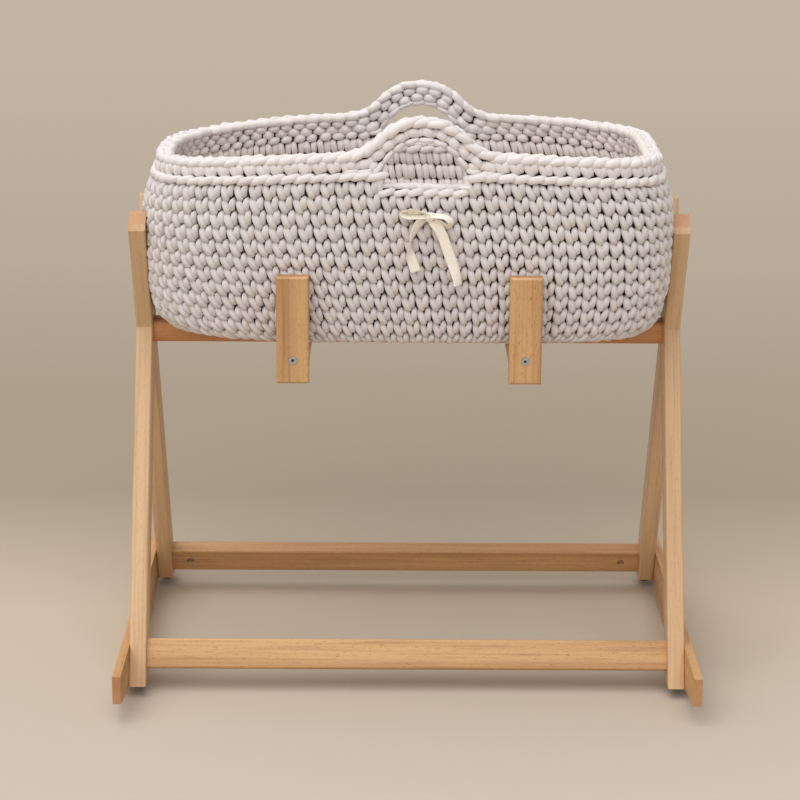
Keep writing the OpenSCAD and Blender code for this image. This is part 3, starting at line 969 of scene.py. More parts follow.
@dataclass
class BandCourse(LineCourse):
    """Line of the rim's band that climbs over the handles, at a share of the band's height."""

    form: BasketForm
    share: float
    handles: Pair
    inside: bool = False
    low_height: float = 0.2575
    high_height: float = 0.2845
    spring_height: float = 0.2360
    hole_radius: float = 0.0650
    handle_radius: float = 0.0970
    flare: float = 0.075
    foot_reach: float = 0.190
    flare_share: float = 0.36
    arch_points: int = 41
    samples: int = 3000
    smoothing: int = 25
    lap: int = 40
    step: float = 0.002

    def __post_init__(self) -> None:
        """Draws the line as points of arc and rise."""
        lower, upper = self.handle_edges()
        mixed = (1 - self.share) * lower + self.share * upper
        path = [mixed + np.array([centre, 0.0]) for centre in sorted(self.handles)]
        lead = np.array([self.form.girth, 0.0])
        loop = np.concatenate(path + [path[0][:1] + lead])
        run = lengths_along(loop)
        line = read_line(loop, run, np.linspace(0, run[-1], self.samples))
        kernel = np.hanning(self.smoothing) / np.hanning(self.smoothing).sum()
        padded = np.concatenate([line[-self.lap - 1:-1] - lead, line, line[1:self.lap + 1] + lead])
        smoothed = np.stack([np.convolve(column, kernel, "same") for column in padded.T], axis=1)
        self.close(smoothed[self.lap:-self.lap])

    def handle_edges(self) -> tuple[np.ndarray, np.ndarray]:
        """Lower and upper edge of the band past one handle, with matching points.

        Returns:
            Points of arc, counted from the handle's middle, and rise.
        """
        low, high, spring = (
            self.form.rise_at(h) for h in (self.low_height, self.high_height, self.spring_height))
        gap = high - spring
        foot_x = math.sqrt((self.handle_radius + self.flare) ** 2 - (gap + self.flare) ** 2)
        meet = math.atan2(gap + self.flare, foot_x)
        first = math.asin((low - spring) / self.hole_radius)
        t = np.linspace(0, 1, self.arch_points)[:, None]
        lower_run = self.level_run(t, self.hole_radius, low)
        lower_arch = self.arc(0.0, spring, self.hole_radius, math.pi - first - t * (math.pi / 2 - first))
        upper_run = self.level_run(t, foot_x, high)
        sweep = np.clip(t / self.flare_share, 0, 1) * (math.pi / 2 - meet) - math.pi / 2
        climb = self.arc(-foot_x, high + self.flare, self.flare, sweep)
        past_flare = np.clip((t - self.flare_share) / (1 - self.flare_share), 0, 1)
        crown = math.pi - meet - past_flare * (math.pi / 2 - meet)
        arch = self.arc(0.0, spring, self.handle_radius, crown)
        upper_arch = np.where(t < self.flare_share, climb, arch)
        mirror = np.array([-1.0, 1.0])
        lower = np.concatenate([lower_run[:-1], lower_arch])
        upper = np.concatenate([upper_run[:-1], upper_arch])
        return tuple(np.concatenate([edge, edge[-2::-1] * mirror]) for edge in (lower, upper))

    def level_run(self, t: np.ndarray, end: float, rise: float) -> np.ndarray:
        """Level stretch of an edge, up to a distance from the handle's middle."""
        return np.concatenate([-self.foot_reach + t * (self.foot_reach - end), rise + 0 * t], 1)

    @staticmethod
    def arc(x: float, rise: float, radius: float, turn: np.ndarray) -> np.ndarray:
        """Points of an arc about a centre."""
        return np.concatenate([x + radius * np.cos(turn), rise + radius * np.sin(turn)], 1)

    def at(self, along: np.ndarray, up: np.ndarray, out: np.ndarray) -> np.ndarray:
        """Points beside the band's line.

        Args:
            along: Distances along the line.
            up: Distances across the band.
            out: Distances out of the fabric.

        Returns:
            One point a row.
        """
        behind, here, ahead = self.spots(along)
        arc, rise = here.T
        d_arc, d_rise = (ahead - behind).T
        d_arc = (d_arc + self.form.girth / 2) % self.form.girth - self.form.girth / 2
        size = np.maximum(np.hypot(d_arc, d_rise), TINY)
        depth = -self.form.wall - out if self.inside else out
        return self.form.point(arc - up * d_rise / size, rise + up * d_arc / size, depth)


@dataclass
class FlatCourse(LineCourse):
    """Round of the flat base, seen from below or, as the floor, from inside."""

    form: BasketForm
    draw_in: float
    level: float
    inside: bool
    spare_length: float
    least_width: float = 0.005
    turn_count: int = 1025
    step: float = 0.003

    def __post_init__(self) -> None:
        """Draws the round as points, to the basket's own outline."""
        turn = np.linspace(0, 2 * math.pi, self.turn_count)
        long, full = self.form.end_shape(turn, self.form.half_length - self.draw_in + self.spare_length)
        wide = max(self.least_width, self.form.half_width - self.draw_in)
        self.close(superellipse(turn, long, wide, full))

    def at(self, along: np.ndarray, up: np.ndarray, out: np.ndarray) -> np.ndarray:
        """Points beside the round.

        Args:
            along: Distances along the round.
            up: Distances outwards in its plane.
            out: Distances away from the fabric.

        Returns:
            One point a row.
        """
        behind, here, ahead = self.spots(along)
        heading = ahead - behind
        heading /= np.maximum(np.linalg.norm(heading, axis=1), TINY)[:, None]
        beside = np.stack([heading[:, 1], -heading[:, 0]], axis=1)
        flat = here + beside * up[:, None]
        rise = self.level + (out if self.inside else -out)
        return np.concatenate([flat, rise[:, None]], axis=1)


class LobeModel:
    """One plump lobe of yarn, modelled once and copied into every stitch."""

    segments: int = 8
    rings: int = 7
    plumpness: float = 1.24
    squareness: float = 1.09
    shoulder: Pair = (0.5, 0.99)
    off_axis: float = 1e-4

    def __init__(self) -> None:
        """Models the lobe from a ball drawn out along its poles."""
        deselect_all()
        bpy.ops.mesh.primitive_uv_sphere_add(segments=self.segments, ring_count=self.rings, radius=1.0)
        ball = bpy.context.object
        bpy.ops.object.mode_set(mode="EDIT")
        bpy.ops.mesh.select_mode(type="VERT")
        for side in (-1, 1):
            bpy.ops.mesh.select_all(action="DESELECT")
            bpy.ops.object.mode_set(mode="OBJECT")
            for vertex in ball.data.vertices:
                vertex.select = self.shoulder[0] < side * vertex.co.z < self.shoulder[1]
            bpy.ops.object.mode_set(mode="EDIT")
            fuller = (self.plumpness, self.plumpness, 1.0)
            bpy.ops.transform.resize(value=fuller, center_override=(0, 0, 0))
        bpy.ops.object.mode_set(mode="OBJECT")
        self.points = np.array([v.co for v in ball.data.vertices])
        slant = np.abs(self.points[:, 0] * self.points[:, 1]) > self.off_axis
        self.points[:, :2] *= np.where(slant, self.squareness, 1.0)[:, None]
        self.faces = [tuple(p.vertices) for p in ball.data.polygons]
        bpy.data.objects.remove(ball)
        around = np.arctan2(self.points[:, 0], -self.points[:, 1]) / (2 * math.pi) + 0.5
        self.strand = np.stack([(self.points[:, 2] + 1) / 2, around], axis=1)


@dataclass(frozen=True)
class Strand:
    """Visible stretch of yarn in a stitch, in millimetres: a line through three places, a width and a depth.

    A place is the distance along the round, across the fabric and out of it. A taper above 0 widens the end.
    """

    start: Triple
    middle: Triple
    end: Triple
    width: float
    depth: float
    taper: float = 0.0

    def shape(self, lobe: LobeModel) -> np.ndarray:
        """Bends the lobe along the strand's line.

        Args:
            lobe: The modelled lobe.

        Returns:
            Its points as along, across and out, in metres.
        """
        a, b, c = (np.array(p) for p in (self.start, self.middle, self.end))
        t = lobe.points[:, 2:3]
        line = a * (t * t - t) / 2 + b * (1 - t * t) + c * (t * t + t) / 2
        heading = a * (t - 0.5) - 2 * b * t + c * (t + 0.5)
        flat = heading[:, :2] / np.maximum(np.linalg.norm(heading[:, :2], axis=1), TINY)[:, None]
        side = np.stack([flat[:, 1], -flat[:, 0], np.zeros(len(flat))], axis=1)
        raised = np.array([0.0, 0.0, 1.0])
        across = side * lobe.points[:, 0:1] * (self.width * (1 + self.taper * t)) / 2
        proud = raised * lobe.points[:, 1:2] * self.depth / 2
        return MM * (line + across - proud)


class StitchPiece:
    """Mesh that gathers many worked stitches into one piece."""

    size_spread: float = 0.05
    place_spread: float = 0.5 * MM
    spread_limit: float = 2.0

    def __init__(self, name: str, lobe: LobeModel, draw: np.random.Generator) -> None:
        """Starts an empty piece.

        Args:
            name: Name of the piece.
            lobe: The modelled lobe.
            draw: Source of the small unevenness of handwork.
        """
        self.name = name
        self.lobe = lobe
        self.draw = draw
        self.points: list[np.ndarray] = []
        self.strands: list[np.ndarray] = []

    def work(self, strand: Strand, course: Course, starts: np.ndarray) -> None:
        """Works one strand into a course at many places.

        Args:
            strand: The strand.
            course: The course.
            starts: Distances along the course.
        """
        count = len(starts)
        if not count:
            return
        shape = strand.shape(self.lobe)
        middle = shape.mean(axis=0)
        size = 1 + self.size_spread * self.uneven(count)
        shift = self.place_spread * self.uneven(count)
        local = (shape - middle)[None] * size + middle + shift
        along = (local[:, :, 0] + starts[:, None]).ravel()
        self.points.append(course.at(along, local[:, :, 1].ravel(), local[:, :, 2].ravel()))
        own = np.broadcast_to(self.lobe.strand[None], (count, len(shape), 2))
        tones = np.broadcast_to(self.draw.random((count, 1, 1)), (count, len(shape), 1))
        self.strands.append(np.concatenate([own, tones], axis=2).reshape(-1, 3))

    def uneven(self, count: int) -> np.ndarray:
        """Small chance values for a number of stitches, along, across and out."""
        return self.draw.standard_normal((count, 1, 3)).clip(-self.spread_limit, self.spread_limit)

    def build(self, material: bpy.types.Material, form: BasketForm) -> bpy.types.Object:
        """Makes the piece.

        Args:
            material: Its finish.
            form: The basket's form, whose neighbours flatten the yarn.

        Returns:
            The finished piece.
        """
        points = form.press(np.concatenate(self.points))
        size = len(self.lobe.points)
        faces = [
            tuple(v + first for v in face)
            for first in range(0, len(points), size) for face in self.lobe.faces]
        piece = soft_piece(self.name, points, faces, material, np.concatenate(self.strands))
        log.info("worked %s: %d strands", self.name, len(points) // size)
        return piece


def new_piece(
    name: str, points: np.ndarray, faces: Faces, material: bpy.types.Material, strand: np.ndarray,
) -> bpy.types.Object:
    """Makes a smooth mesh with coordinates of its own.

    Args:
        name: Name of the piece.
        points: Its points, one a row.
        faces: Its faces.
        material: Its finish.
        strand: Each point's coordinates along and across its yarn or tape.

    Returns:
        The piece.
    """
    mesh = bpy.data.meshes.new(name)
    mesh.from_pydata(points.tolist(), [], faces)
    mesh.polygons.foreach_set("use_smooth", np.ones(len(faces), bool))
    attribute = mesh.attributes.new(STRAND_ATTRIBUTE, "FLOAT_VECTOR", "POINT")
    attribute.data.foreach_set("vector", strand.astype(np.float32).ravel())
    mesh.materials.append(material)
    mesh.update()
    piece = bpy.data.objects.new(name, mesh)
    bpy.context.scene.collection.objects.link(piece)
    return piece


def soft_piece(
    name: str, points: np.ndarray, faces: Faces, material: bpy.types.Material, strand: np.ndarray,
) -> bpy.types.Object:
    """Makes a piece of the basket.

    Args:
        name: Name of the piece.
        points: Its points, one a row.
        faces: Its faces.
        material: Its finish.
        strand: Each point's place along and around its yarn, and the yarn's tone.

    Returns:
        The piece, riding on the basket.
    """
    piece = new_piece(name, points, faces, material, strand)
    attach(piece, "basket")
    return piece


@dataclass
class BasketCore:
    """Closed core of the basket, which shows as shade between the stitches."""

    form: BasketForm
    handles: Pair
    hole_reach: float
    top: float = 0.268
    hole_drop: float = 0.040
    hole_margin: float = 0.002
    hole_ramp: float = 0.012
    foot_gap: float = 0.004
    floor: float = 0.024
    bottom: float = 0.009
    outside: float = -0.0086
    inside: float = -0.0165
    sides: int = 384
    outer_rings: int = 16
    inner_rings: int = 14

    def build(self, name: str, material: bpy.types.Material) -> bpy.types.Object:
        """Makes the core.

        Args:
            name: Name of the piece.
            material: Its finish.

        Returns:
            The core, which stands for the basket's body.
        """
        form = self.form
        around = np.linspace(0, form.girth, self.sides, endpoint=False)
        off = np.minimum(*(form.apart(around, centre) for centre in self.handles))
        open_share = np.clip((self.hole_reach + self.hole_margin - off) / self.hole_ramp, 0, 1)
        top = form.rise_at(self.top) - open_share * self.hole_drop
        rings = []
        for low, out, shares in (
            (form.rises[0] + self.foot_gap, self.outside, np.linspace(0, 1, self.outer_rings)),
            (form.rise_at(self.floor), self.inside, np.linspace(1, 0, self.inner_rings)),
        ):
            rings += [
                form.point(around, low + share * (top - low), np.full_like(around, out)) for share in shares]
        bottom = rings[-1].copy()
        bottom[:, 2] = form.seat + self.bottom
        rings.append(bottom)
        points = np.concatenate(rings)
        faces = tube_faces(len(rings), self.sides)
        core = soft_piece(name, form.press(points), faces, material, np.zeros_like(points))
        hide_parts("basket_body")
        log.info("made %s", name)
        return core


@dataclass
class HandleCore:
    """Closed core of a handle: a flat bar along the rim's band, painted dark as the shade between the
    handle's stitches.
    """

    form: BasketForm
    handles: Pair
    middle: float
    reach: float = 0.125
    samples: int = 1200
    rings: int = 48
    # Corners of the bar's section, as shares of the band's height and distances out
    section: tuple[Pair, ...] = (
        (0.16, -0.0080), (0.50, -0.0070), (0.82, -0.0080), (0.82, -0.0140), (0.50, -0.0150), (0.16, -0.0140))

    def build(self, name: str, front: bool, material: bpy.types.Material) -> bpy.types.Object:
        """Makes the core.

        Args:
            name: Name of the piece.
            front: Whether the handle is the front one.
            material: Its finish.

        Returns:
            The core.
        """
        lines = []
        for share, out in self.section:
            course = BandCourse(self.form, share, self.handles)
            along = np.linspace(0, course.length, self.samples)
            spots = course.at(along, 0 * along, np.full_like(along, out))
            near = np.abs(spots[:, 0] - self.middle) < self.reach
            chosen = spots[near & ((spots[:, 1] < 0) == front)]
            run = lengths_along(chosen)
            lines.append(smooth_line(chosen, run, np.linspace(0, run[-1], self.rings)))
        points = np.stack(lines, axis=1).reshape(-1, 3)
        faces = tube_faces(self.rings, len(self.section))
        core = soft_piece(name, points, faces, material, np.zeros_like(points))
        log.info("made %s", name)
        return core


@dataclass
class Basket:
    """Crocheted basket: rounds of stitches over a core painted dark as shade, with a banded rim and two
    arched handles.
    """

    rows: int = 12
    stitch: float = 0.0210
    row_height: float = 0.02145
    top_tip: float = 0.2235
    least_stitches: int = 3
    drift: float = 0.0042
    stitch_lean: float = 0.0020
    edge_height: float = 0.2535
    lining_height: float = 0.2375
    lining_rows: int = 11
    lining_row_height: float = 0.0224
    base_pitch: float = 0.0195
    base_draw: float = 0.045
    base_spare: float = -0.009
    floor_draw: float = 0.052
    floor_spare: float = 0.004
    seam_draw: float = 0.0400
    seam_height: float = 0.0230
    braid_height: float = 0.2300
    braid_stitches: int = 6
    back_lift: float = 0.001
    back_margin: float = 0.006
    between_lift: float = 0.0105
    between_margin: float = 0.012
    handle_x: float = 0.0190
    hole_reach: float = 0.0640
    handle_reach: float = 0.1060
    outer_jambs: tuple[tuple[float, ...], ...] = ((-0.0760, -0.0640, 0.0640), (-0.0640, 0.0640))
    crook_reach: float = 0.0740
    gusset_reach: float = 0.0690
    overlap: float = 0.0120
    band_margin: float = 0.004
    seed: int = 11
    finish: YarnFinish = YarnFinish()
    # Painted light: the lining's yarn is paler than the wall's, so the shaded inside renders about as bright
    # as the outside
    lit_lining_finish: YarnFinish = YarnFinish(pale=(0.940, 0.905, 0.890), shade=(0.885, 0.845, 0.828))
    # Painted light: the rim's and handles' yarn is paler than the wall's, for the light that falls on them
    # from above
    lit_rim_finish: YarnFinish = YarnFinish(pale=(0.938, 0.910, 0.904), shade=(0.882, 0.850, 0.844))
    # Cores painted dark as the shade between the stitches
    shade_core_finish: PaintedShadeFinish = PaintedShadeFinish()

    left_arm: Strand = Strand((-11.5, 25.0, -9.5), (-6.0, 10.9, -3.2), (0.5, -1.0, -6.5), 11.0, 10.8)
    right_arm: Strand = Strand((3.2, 27.6, -9.0), (2.4, 15.8, -3.4), (0.3, 3.4, -9.5), 11.5, 10.8, 0.26)
    band_left: Strand = Strand((-15.5, 12.5, -9.0), (-8.5, 0.5, -3.4), (2.0, -11.0, -8.0), 13.0, 11.0, 0.12)
    band_right: Strand = Strand((3.0, 12.5, -8.5), (1.6, 1.5, -3.4), (0.6, -10.0, -9.0), 13.4, 11.0, 0.12)
    edge_link: Strand = Strand((-17.5, -3.8, -6.0), (0.0, 0.0, -0.6), (17.5, 3.8, -5.5), 12.4, 11.0)
    rim_link: Strand = Strand((-18.0, -3.4, -7.0), (0.0, 0.0, -3.0), (18.0, 3.4, -7.0), 12.4, 13.0)
    rim_top: Strand = Strand((-14.0, 0.0, -12.0), (0.0, 0.0, -11.0), (14.0, 0.0, -12.0), 10.0, 13.0)
    rim_back: Strand = Strand((-15.5, 3.0, -7.5), (0.0, 0.0, -3.5), (15.5, -2.0, -8.0), 11.6, 13.0)
    block: Strand = Strand((-10.8, 0.0, -8.5), (0.0, 0.0, -4.0), (10.8, 0.0, -8.5), 13.4, 11.5)
    wedge: Strand = Strand((-11.5, 2.6, -9.5), (0.0, 0.0, -5.2), (11.5, -2.6, -9.5), 12.4, 11.0)
    small_block: Strand = Strand((-10.6, 2.8, -8.5), (0.0, 0.0, -4.0), (10.6, -2.8, -8.5), 14.0, 11.5)
    post: Strand = Strand((2.6, 7.4, -9.5), (0.0, 0.0, -6.6), (-2.6, -7.4, -9.5), 9.0, 10.0)
    thin_link: Strand = Strand((-12.5, -1.0, -8.5), (0.0, 0.0, -4.2), (12.5, 1.0, -8.5), 8.4, 12.0)
    braid_low: Strand = Strand((-14.5, -4.0, -6.5), (0.0, 0.0, -1.8), (14.5, 4.0, -6.5), 11.0, 11.0)
    braid_high: Strand = Strand((-13.0, 8.4, -9.0), (0.0, 7.4, -5.0), (13.0, 6.4, -9.0), 8.0, 12.0)
    sill: Strand = Strand((-13.0, 8.6, -11.0), (0.0, 8.6, -11.0), (13.0, 8.6, -11.0), 9.0, 15.0)
    jamb: Strand = Strand((0.0, 28.0, -8.0), (0.0, 14.0, -6.5), (0.0, -2.0, -8.0), 13.0, 12.0)
    crook: Strand = Strand((-9.0, 36.0, -9.5), (0.0, 37.5, -6.0), (9.0, 36.0, -9.5), 14.0, 12.0)
    gusset: Strand = Strand((-9.0, 51.0, -10.0), (0.0, 52.0, -7.0), (9.0, 51.0, -10.0), 13.0, 12.0)
    bar_left: Strand = Strand((-9.4, 13.2, -8.5), (-5.9, 0.5, -3.6), (-2.2, -13.4, -8.5), 10.8, 11.0)
    bar_right: Strand = Strand((3.0, 13.2, -8.5), (4.8, 0.0, -4.4), (5.8, -13.0, -8.5), 11.2, 11.0, -0.12)
    spine_link: Strand = Strand((-13.0, 0.0, -7.5), (0.0, 0.0, -5.0), (13.0, 0.0, -7.5), 11.0, 9.0)
    seam_link: Strand = Strand((-13.0, 0.0, -6.0), (0.0, 0.0, -5.0), (13.0, 0.0, -6.0), 12.0, 11.0)
    base_left: Strand = Strand((-10.5, 10.5, -8.0), (-5.0, 0.0, -5.0), (0.5, -11.0, -8.0), 13.2, 9.0)
    base_right: Strand = Strand((8.5, 10.5, -8.0), (5.5, 0.0, -5.0), (1.0, -10.5, -8.0), 12.8, 9.0)

    def __post_init__(self) -> None:
        """Reads the basket's place from the frame."""
        self.form = BasketForm(*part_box("basket_body"))
        self.lobe = LobeModel()
        self.draw = np.random.default_rng(self.seed)
        self.pitch = self.form.girth / round(self.form.girth / self.stitch)
        self.handles = tuple(self.form.arc_at(self.handle_x, front) for front in (False, True))

    def build(self) -> list[bpy.types.Object]:
        """Makes the whole basket.

        Returns:
            Its pieces.
        """
        yarn = self.finish.material("jersey_yarn")
        core_shade = self.shade_core_finish.material("painted_shade_yarn")
        lit_lining_yarn = self.lit_lining_finish.material("lit_lining_yarn")
        lit_rim_yarn = self.lit_rim_finish.material("lit_rim_yarn")
        pieces = [BasketCore(self.form, self.handles, self.hole_reach).build("basket_shade_core", core_shade)]
        base, floor = self.work_base()
        inner, rim, front, rear = self.work_band()
        lining, wall = self.work_lining(), self.work_wall()
        # Lining, rim and handles carry painted light in their paler yarn; wall and base keep the yarn's own
        # tone
        for material, worked in (
            (lit_lining_yarn, (*lining, floor, inner)), (yarn, (*wall, base)), (lit_rim_yarn, (rim, front, rear)),
        ):
            pieces += [piece.build(material, self.form) for piece in worked]
        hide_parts("front_handle")
        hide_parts("rear_handle")
        core = HandleCore(self.form, self.handles, self.handle_x)
        pieces.append(core.build("front_handle_shade_core", True, core_shade))
        pieces.append(core.build("rear_handle_shade_core", False, core_shade))
        return pieces

    def starts(self, course: Course, offset: float = 0.0) -> np.ndarray:
        """Even places along a course, about one stitch apart.

        Args:
            course: The course.
            offset: Shift of the first place.

        Returns:
            Distances along the course.
        """
        count = max(self.least_stitches, round(course.length / self.pitch))
        return np.arange(count) * course.length / count + offset

    def near_handle(self, course: WallCourse, places: np.ndarray, reach: float) -> np.ndarray:
        """Which places of a round lie within a reach of the middle of a handle."""
        arc = course.arc(places)
        return np.minimum(*(self.form.apart(arc, centre) for centre in self.handles)) < reach

    def piece(self, name: str) -> StitchPiece:
        """Starts a piece of the basket."""
        return StitchPiece(name, self.lobe, self.draw)

    def work_wall(self) -> list[StitchPiece]:
        """Works the rows of the outside, the first one only beside the hand holes.

        Returns:
            The upper and the lower rows.
        """
        upper, lower = self.piece("upper_wall_stitches"), self.piece("lower_wall_stitches")
        first = self.handles[1] - self.hole_reach - self.pitch / 2 + self.stitch_lean
        for row in range(self.rows):
            course = WallCourse(self.form, self.form.rise_at(self.top_tip) - row * self.row_height)
            places = self.starts(course, first % self.pitch + self.drift * row)
            if row == 0:
                middles = places - self.stitch_lean
                places = places[~self.near_handle(course, middles, self.hole_reach)]
            target = upper if row < self.rows // 2 else lower
            target.work(self.left_arm, course, places)
            target.work(self.right_arm, course, places)
        return [upper, lower]

    def work_lining(self) -> list[StitchPiece]:
        """Works the rows of the inside, the first one only beside the hand holes.

        Returns:
            The upper and the lower rows.
        """
        upper, lower = self.piece("upper_lining_stitches"), self.piece("lower_lining_stitches")
        top = self.form.rise_at(self.lining_height)
        for row in range(self.lining_rows):
            course = WallCourse(self.form, top - row * self.lining_row_height, inside=True)
            places = self.starts(course, self.drift * row)
            if row == 0:
                places = places[~self.near_handle(course, places, self.hole_reach)]
            target = upper if row < self.lining_rows // 2 else lower
            target.work(self.bar_left, course, places)
            target.work(self.bar_right, course, places)
        return [upper, lower]

    def work_base(self) -> tuple[StitchPiece, StitchPiece]:
        """Works the rounds of the base, below and inside.

        Returns:
            The underside and the floor.
        """
        below, floor = self.piece("base_stitches"), self.piece("floor_stitches")
        for piece, inside, level, start, spare in (
            (below, False, self.form.seat, self.base_draw, self.base_spare),
            (floor, True, self.form.seat + self.form.floor, self.floor_draw, self.floor_spare),
        ):
            rounds = np.arange(start, self.form.half_width - self.stitch / 2, self.base_pitch)
            for ring, draw_in in enumerate(rounds):
                course = FlatCourse(self.form, draw_in, level, inside, spare)
                places = self.starts(course, self.drift * ring)
                piece.work(self.base_left, course, places)
                piece.work(self.base_right, course, places)
            middle = FlatCourse(self.form, self.form.half_width, level, inside, spare)
            piece.work(self.spine_link, middle, self.starts(middle))
        seam = FlatCourse(self.form, self.seam_draw, self.form.seat + self.seam_height, True, 0.0)
        floor.work(self.seam_link, seam, self.starts(seam))
        return below, floor

    def work_band(self) -> tuple[StitchPiece, StitchPiece, StitchPiece, StitchPiece]:
        """Works the rim's band, which climbs over the handles, and the edges under and beside them.

        Returns:
            The rim's inside, the rim, the front handle and the rear handle.
        """
        inner, rim = self.piece("inner_rim_stitches"), self.piece("rim_stitches")
        front, rear = self.piece("front_handle_stitches"), self.piece("rear_handle_stitches")
        self.work_edges(rim, inner)
        self.work_holes(rim, inner)
        self.work_rows(rim, inner, front, rear)
        return inner, rim, front, rear

    def work_edges(self, rim: StitchPiece, inner: StitchPiece) -> None:
        """Works the rounds below the band, between the hand holes.

        Args:
            rim: Piece that takes the outside.
            inner: Piece that takes the inside.
        """
        for piece, strand, lift, shift, margin in (
            (rim, self.edge_link, 0.0, 0.0, 0.0),
            (inner, self.block, self.back_lift, 0.0, self.back_margin),
            (inner, self.wedge, self.between_lift, self.pitch / 2, self.between_margin),
        ):
            course = WallCourse(self.form, self.form.rise_at(self.edge_height + lift), piece is inner)
            places = self.starts(course, shift)
            at_hole = self.near_handle(course, places, self.hole_reach + margin)
            piece.work(strand, course, places[~at_hole])

    def work_holes(self, rim: StitchPiece, inner: StitchPiece) -> None:
        """Works the braid under each hand hole and the stitches at the hole's two sides.

        Args:
            rim: Piece that takes the outside.
            inner: Piece that takes the inside.
        """
        steps = np.arange(self.braid_stitches) - (self.braid_stitches - 1) / 2
        for inside in (False, True):
            braid = WallCourse(self.form, self.form.rise_at(self.braid_height), inside)
            target = inner if inside else rim
            for centre, jambs in zip(self.handles, self.outer_jambs):
                places = braid.arc(centre + self.pitch * steps)
                target.work(self.braid_low, braid, places)
                target.work(self.braid_high, braid, places[1:] + self.pitch / 2)
                if not inside:
                    target.work(self.sill, braid, places)
                    target.work(self.gusset, braid, centre + self.gusset_reach * BOTH_SIDES)
                jamb_places = centre + (self.hole_reach * BOTH_SIDES if inside else np.array(jambs))
                target.work(self.jamb, braid, braid.arc(jamb_places))
                target.work(self.crook, braid, braid.arc(centre + self.crook_reach * BOTH_SIDES))

    def work_rows(
        self, rim: StitchPiece, inner: StitchPiece, front: StitchPiece, rear: StitchPiece,
    ) -> None:
        """Works the rows of the band.

        Args:
            rim: Piece that takes the outside between the handles.
            inner: Piece that takes the inside between the handles.
            front: Piece that takes the front handle.
            rear: Piece that takes the rear handle.
        """
        # Share of the band's height, side, strands on the rim and on the handles, shift in stitches
        rows = (
            (0.84, False, (self.rim_link,), (self.rim_link,), 0.0),
            (0.92, False, (self.rim_top,), (self.rim_top,), 0.5),
            (0.44, False, (self.band_left, self.band_right), (self.small_block,), 0.0),
            (0.44, False, (), (self.post,), 0.5),
            (0.10, False, (), (self.thin_link,), 0.0),
            (0.90, True, (self.rim_back,), (self.rim_back,), 0.5),
            (0.60, True, (self.block,), (self.block,), 0.5),
            (0.28, True, (), (self.block,), 0.0),
            (0.06, True, (), (self.thin_link,), 0.0),
        )
        for share, inside, on_rim, on_handle, shift in rows:
            course = BandCourse(self.form, share, self.handles, inside)
            places = self.starts(course, shift * self.pitch)
            spots = course.at(places, 0 * places, 0 * places)
            high = spots[:, 2] > self.form.seat + BandCourse.low_height - self.band_margin
            off = np.abs(spots[:, 0] - self.handle_x)
            at_handle = (off < self.handle_reach) & high
            at_rim = ~((off < self.handle_reach - self.overlap) & high)
            for strand in on_rim:
                (inner if inside else rim).work(strand, course, places[at_rim])
            for strand in on_handle:
                front.work(strand, course, places[at_handle & (spots[:, 1] < 0)])
                rear.work(strand, course, places[at_handle & (spots[:, 1] > 0)])


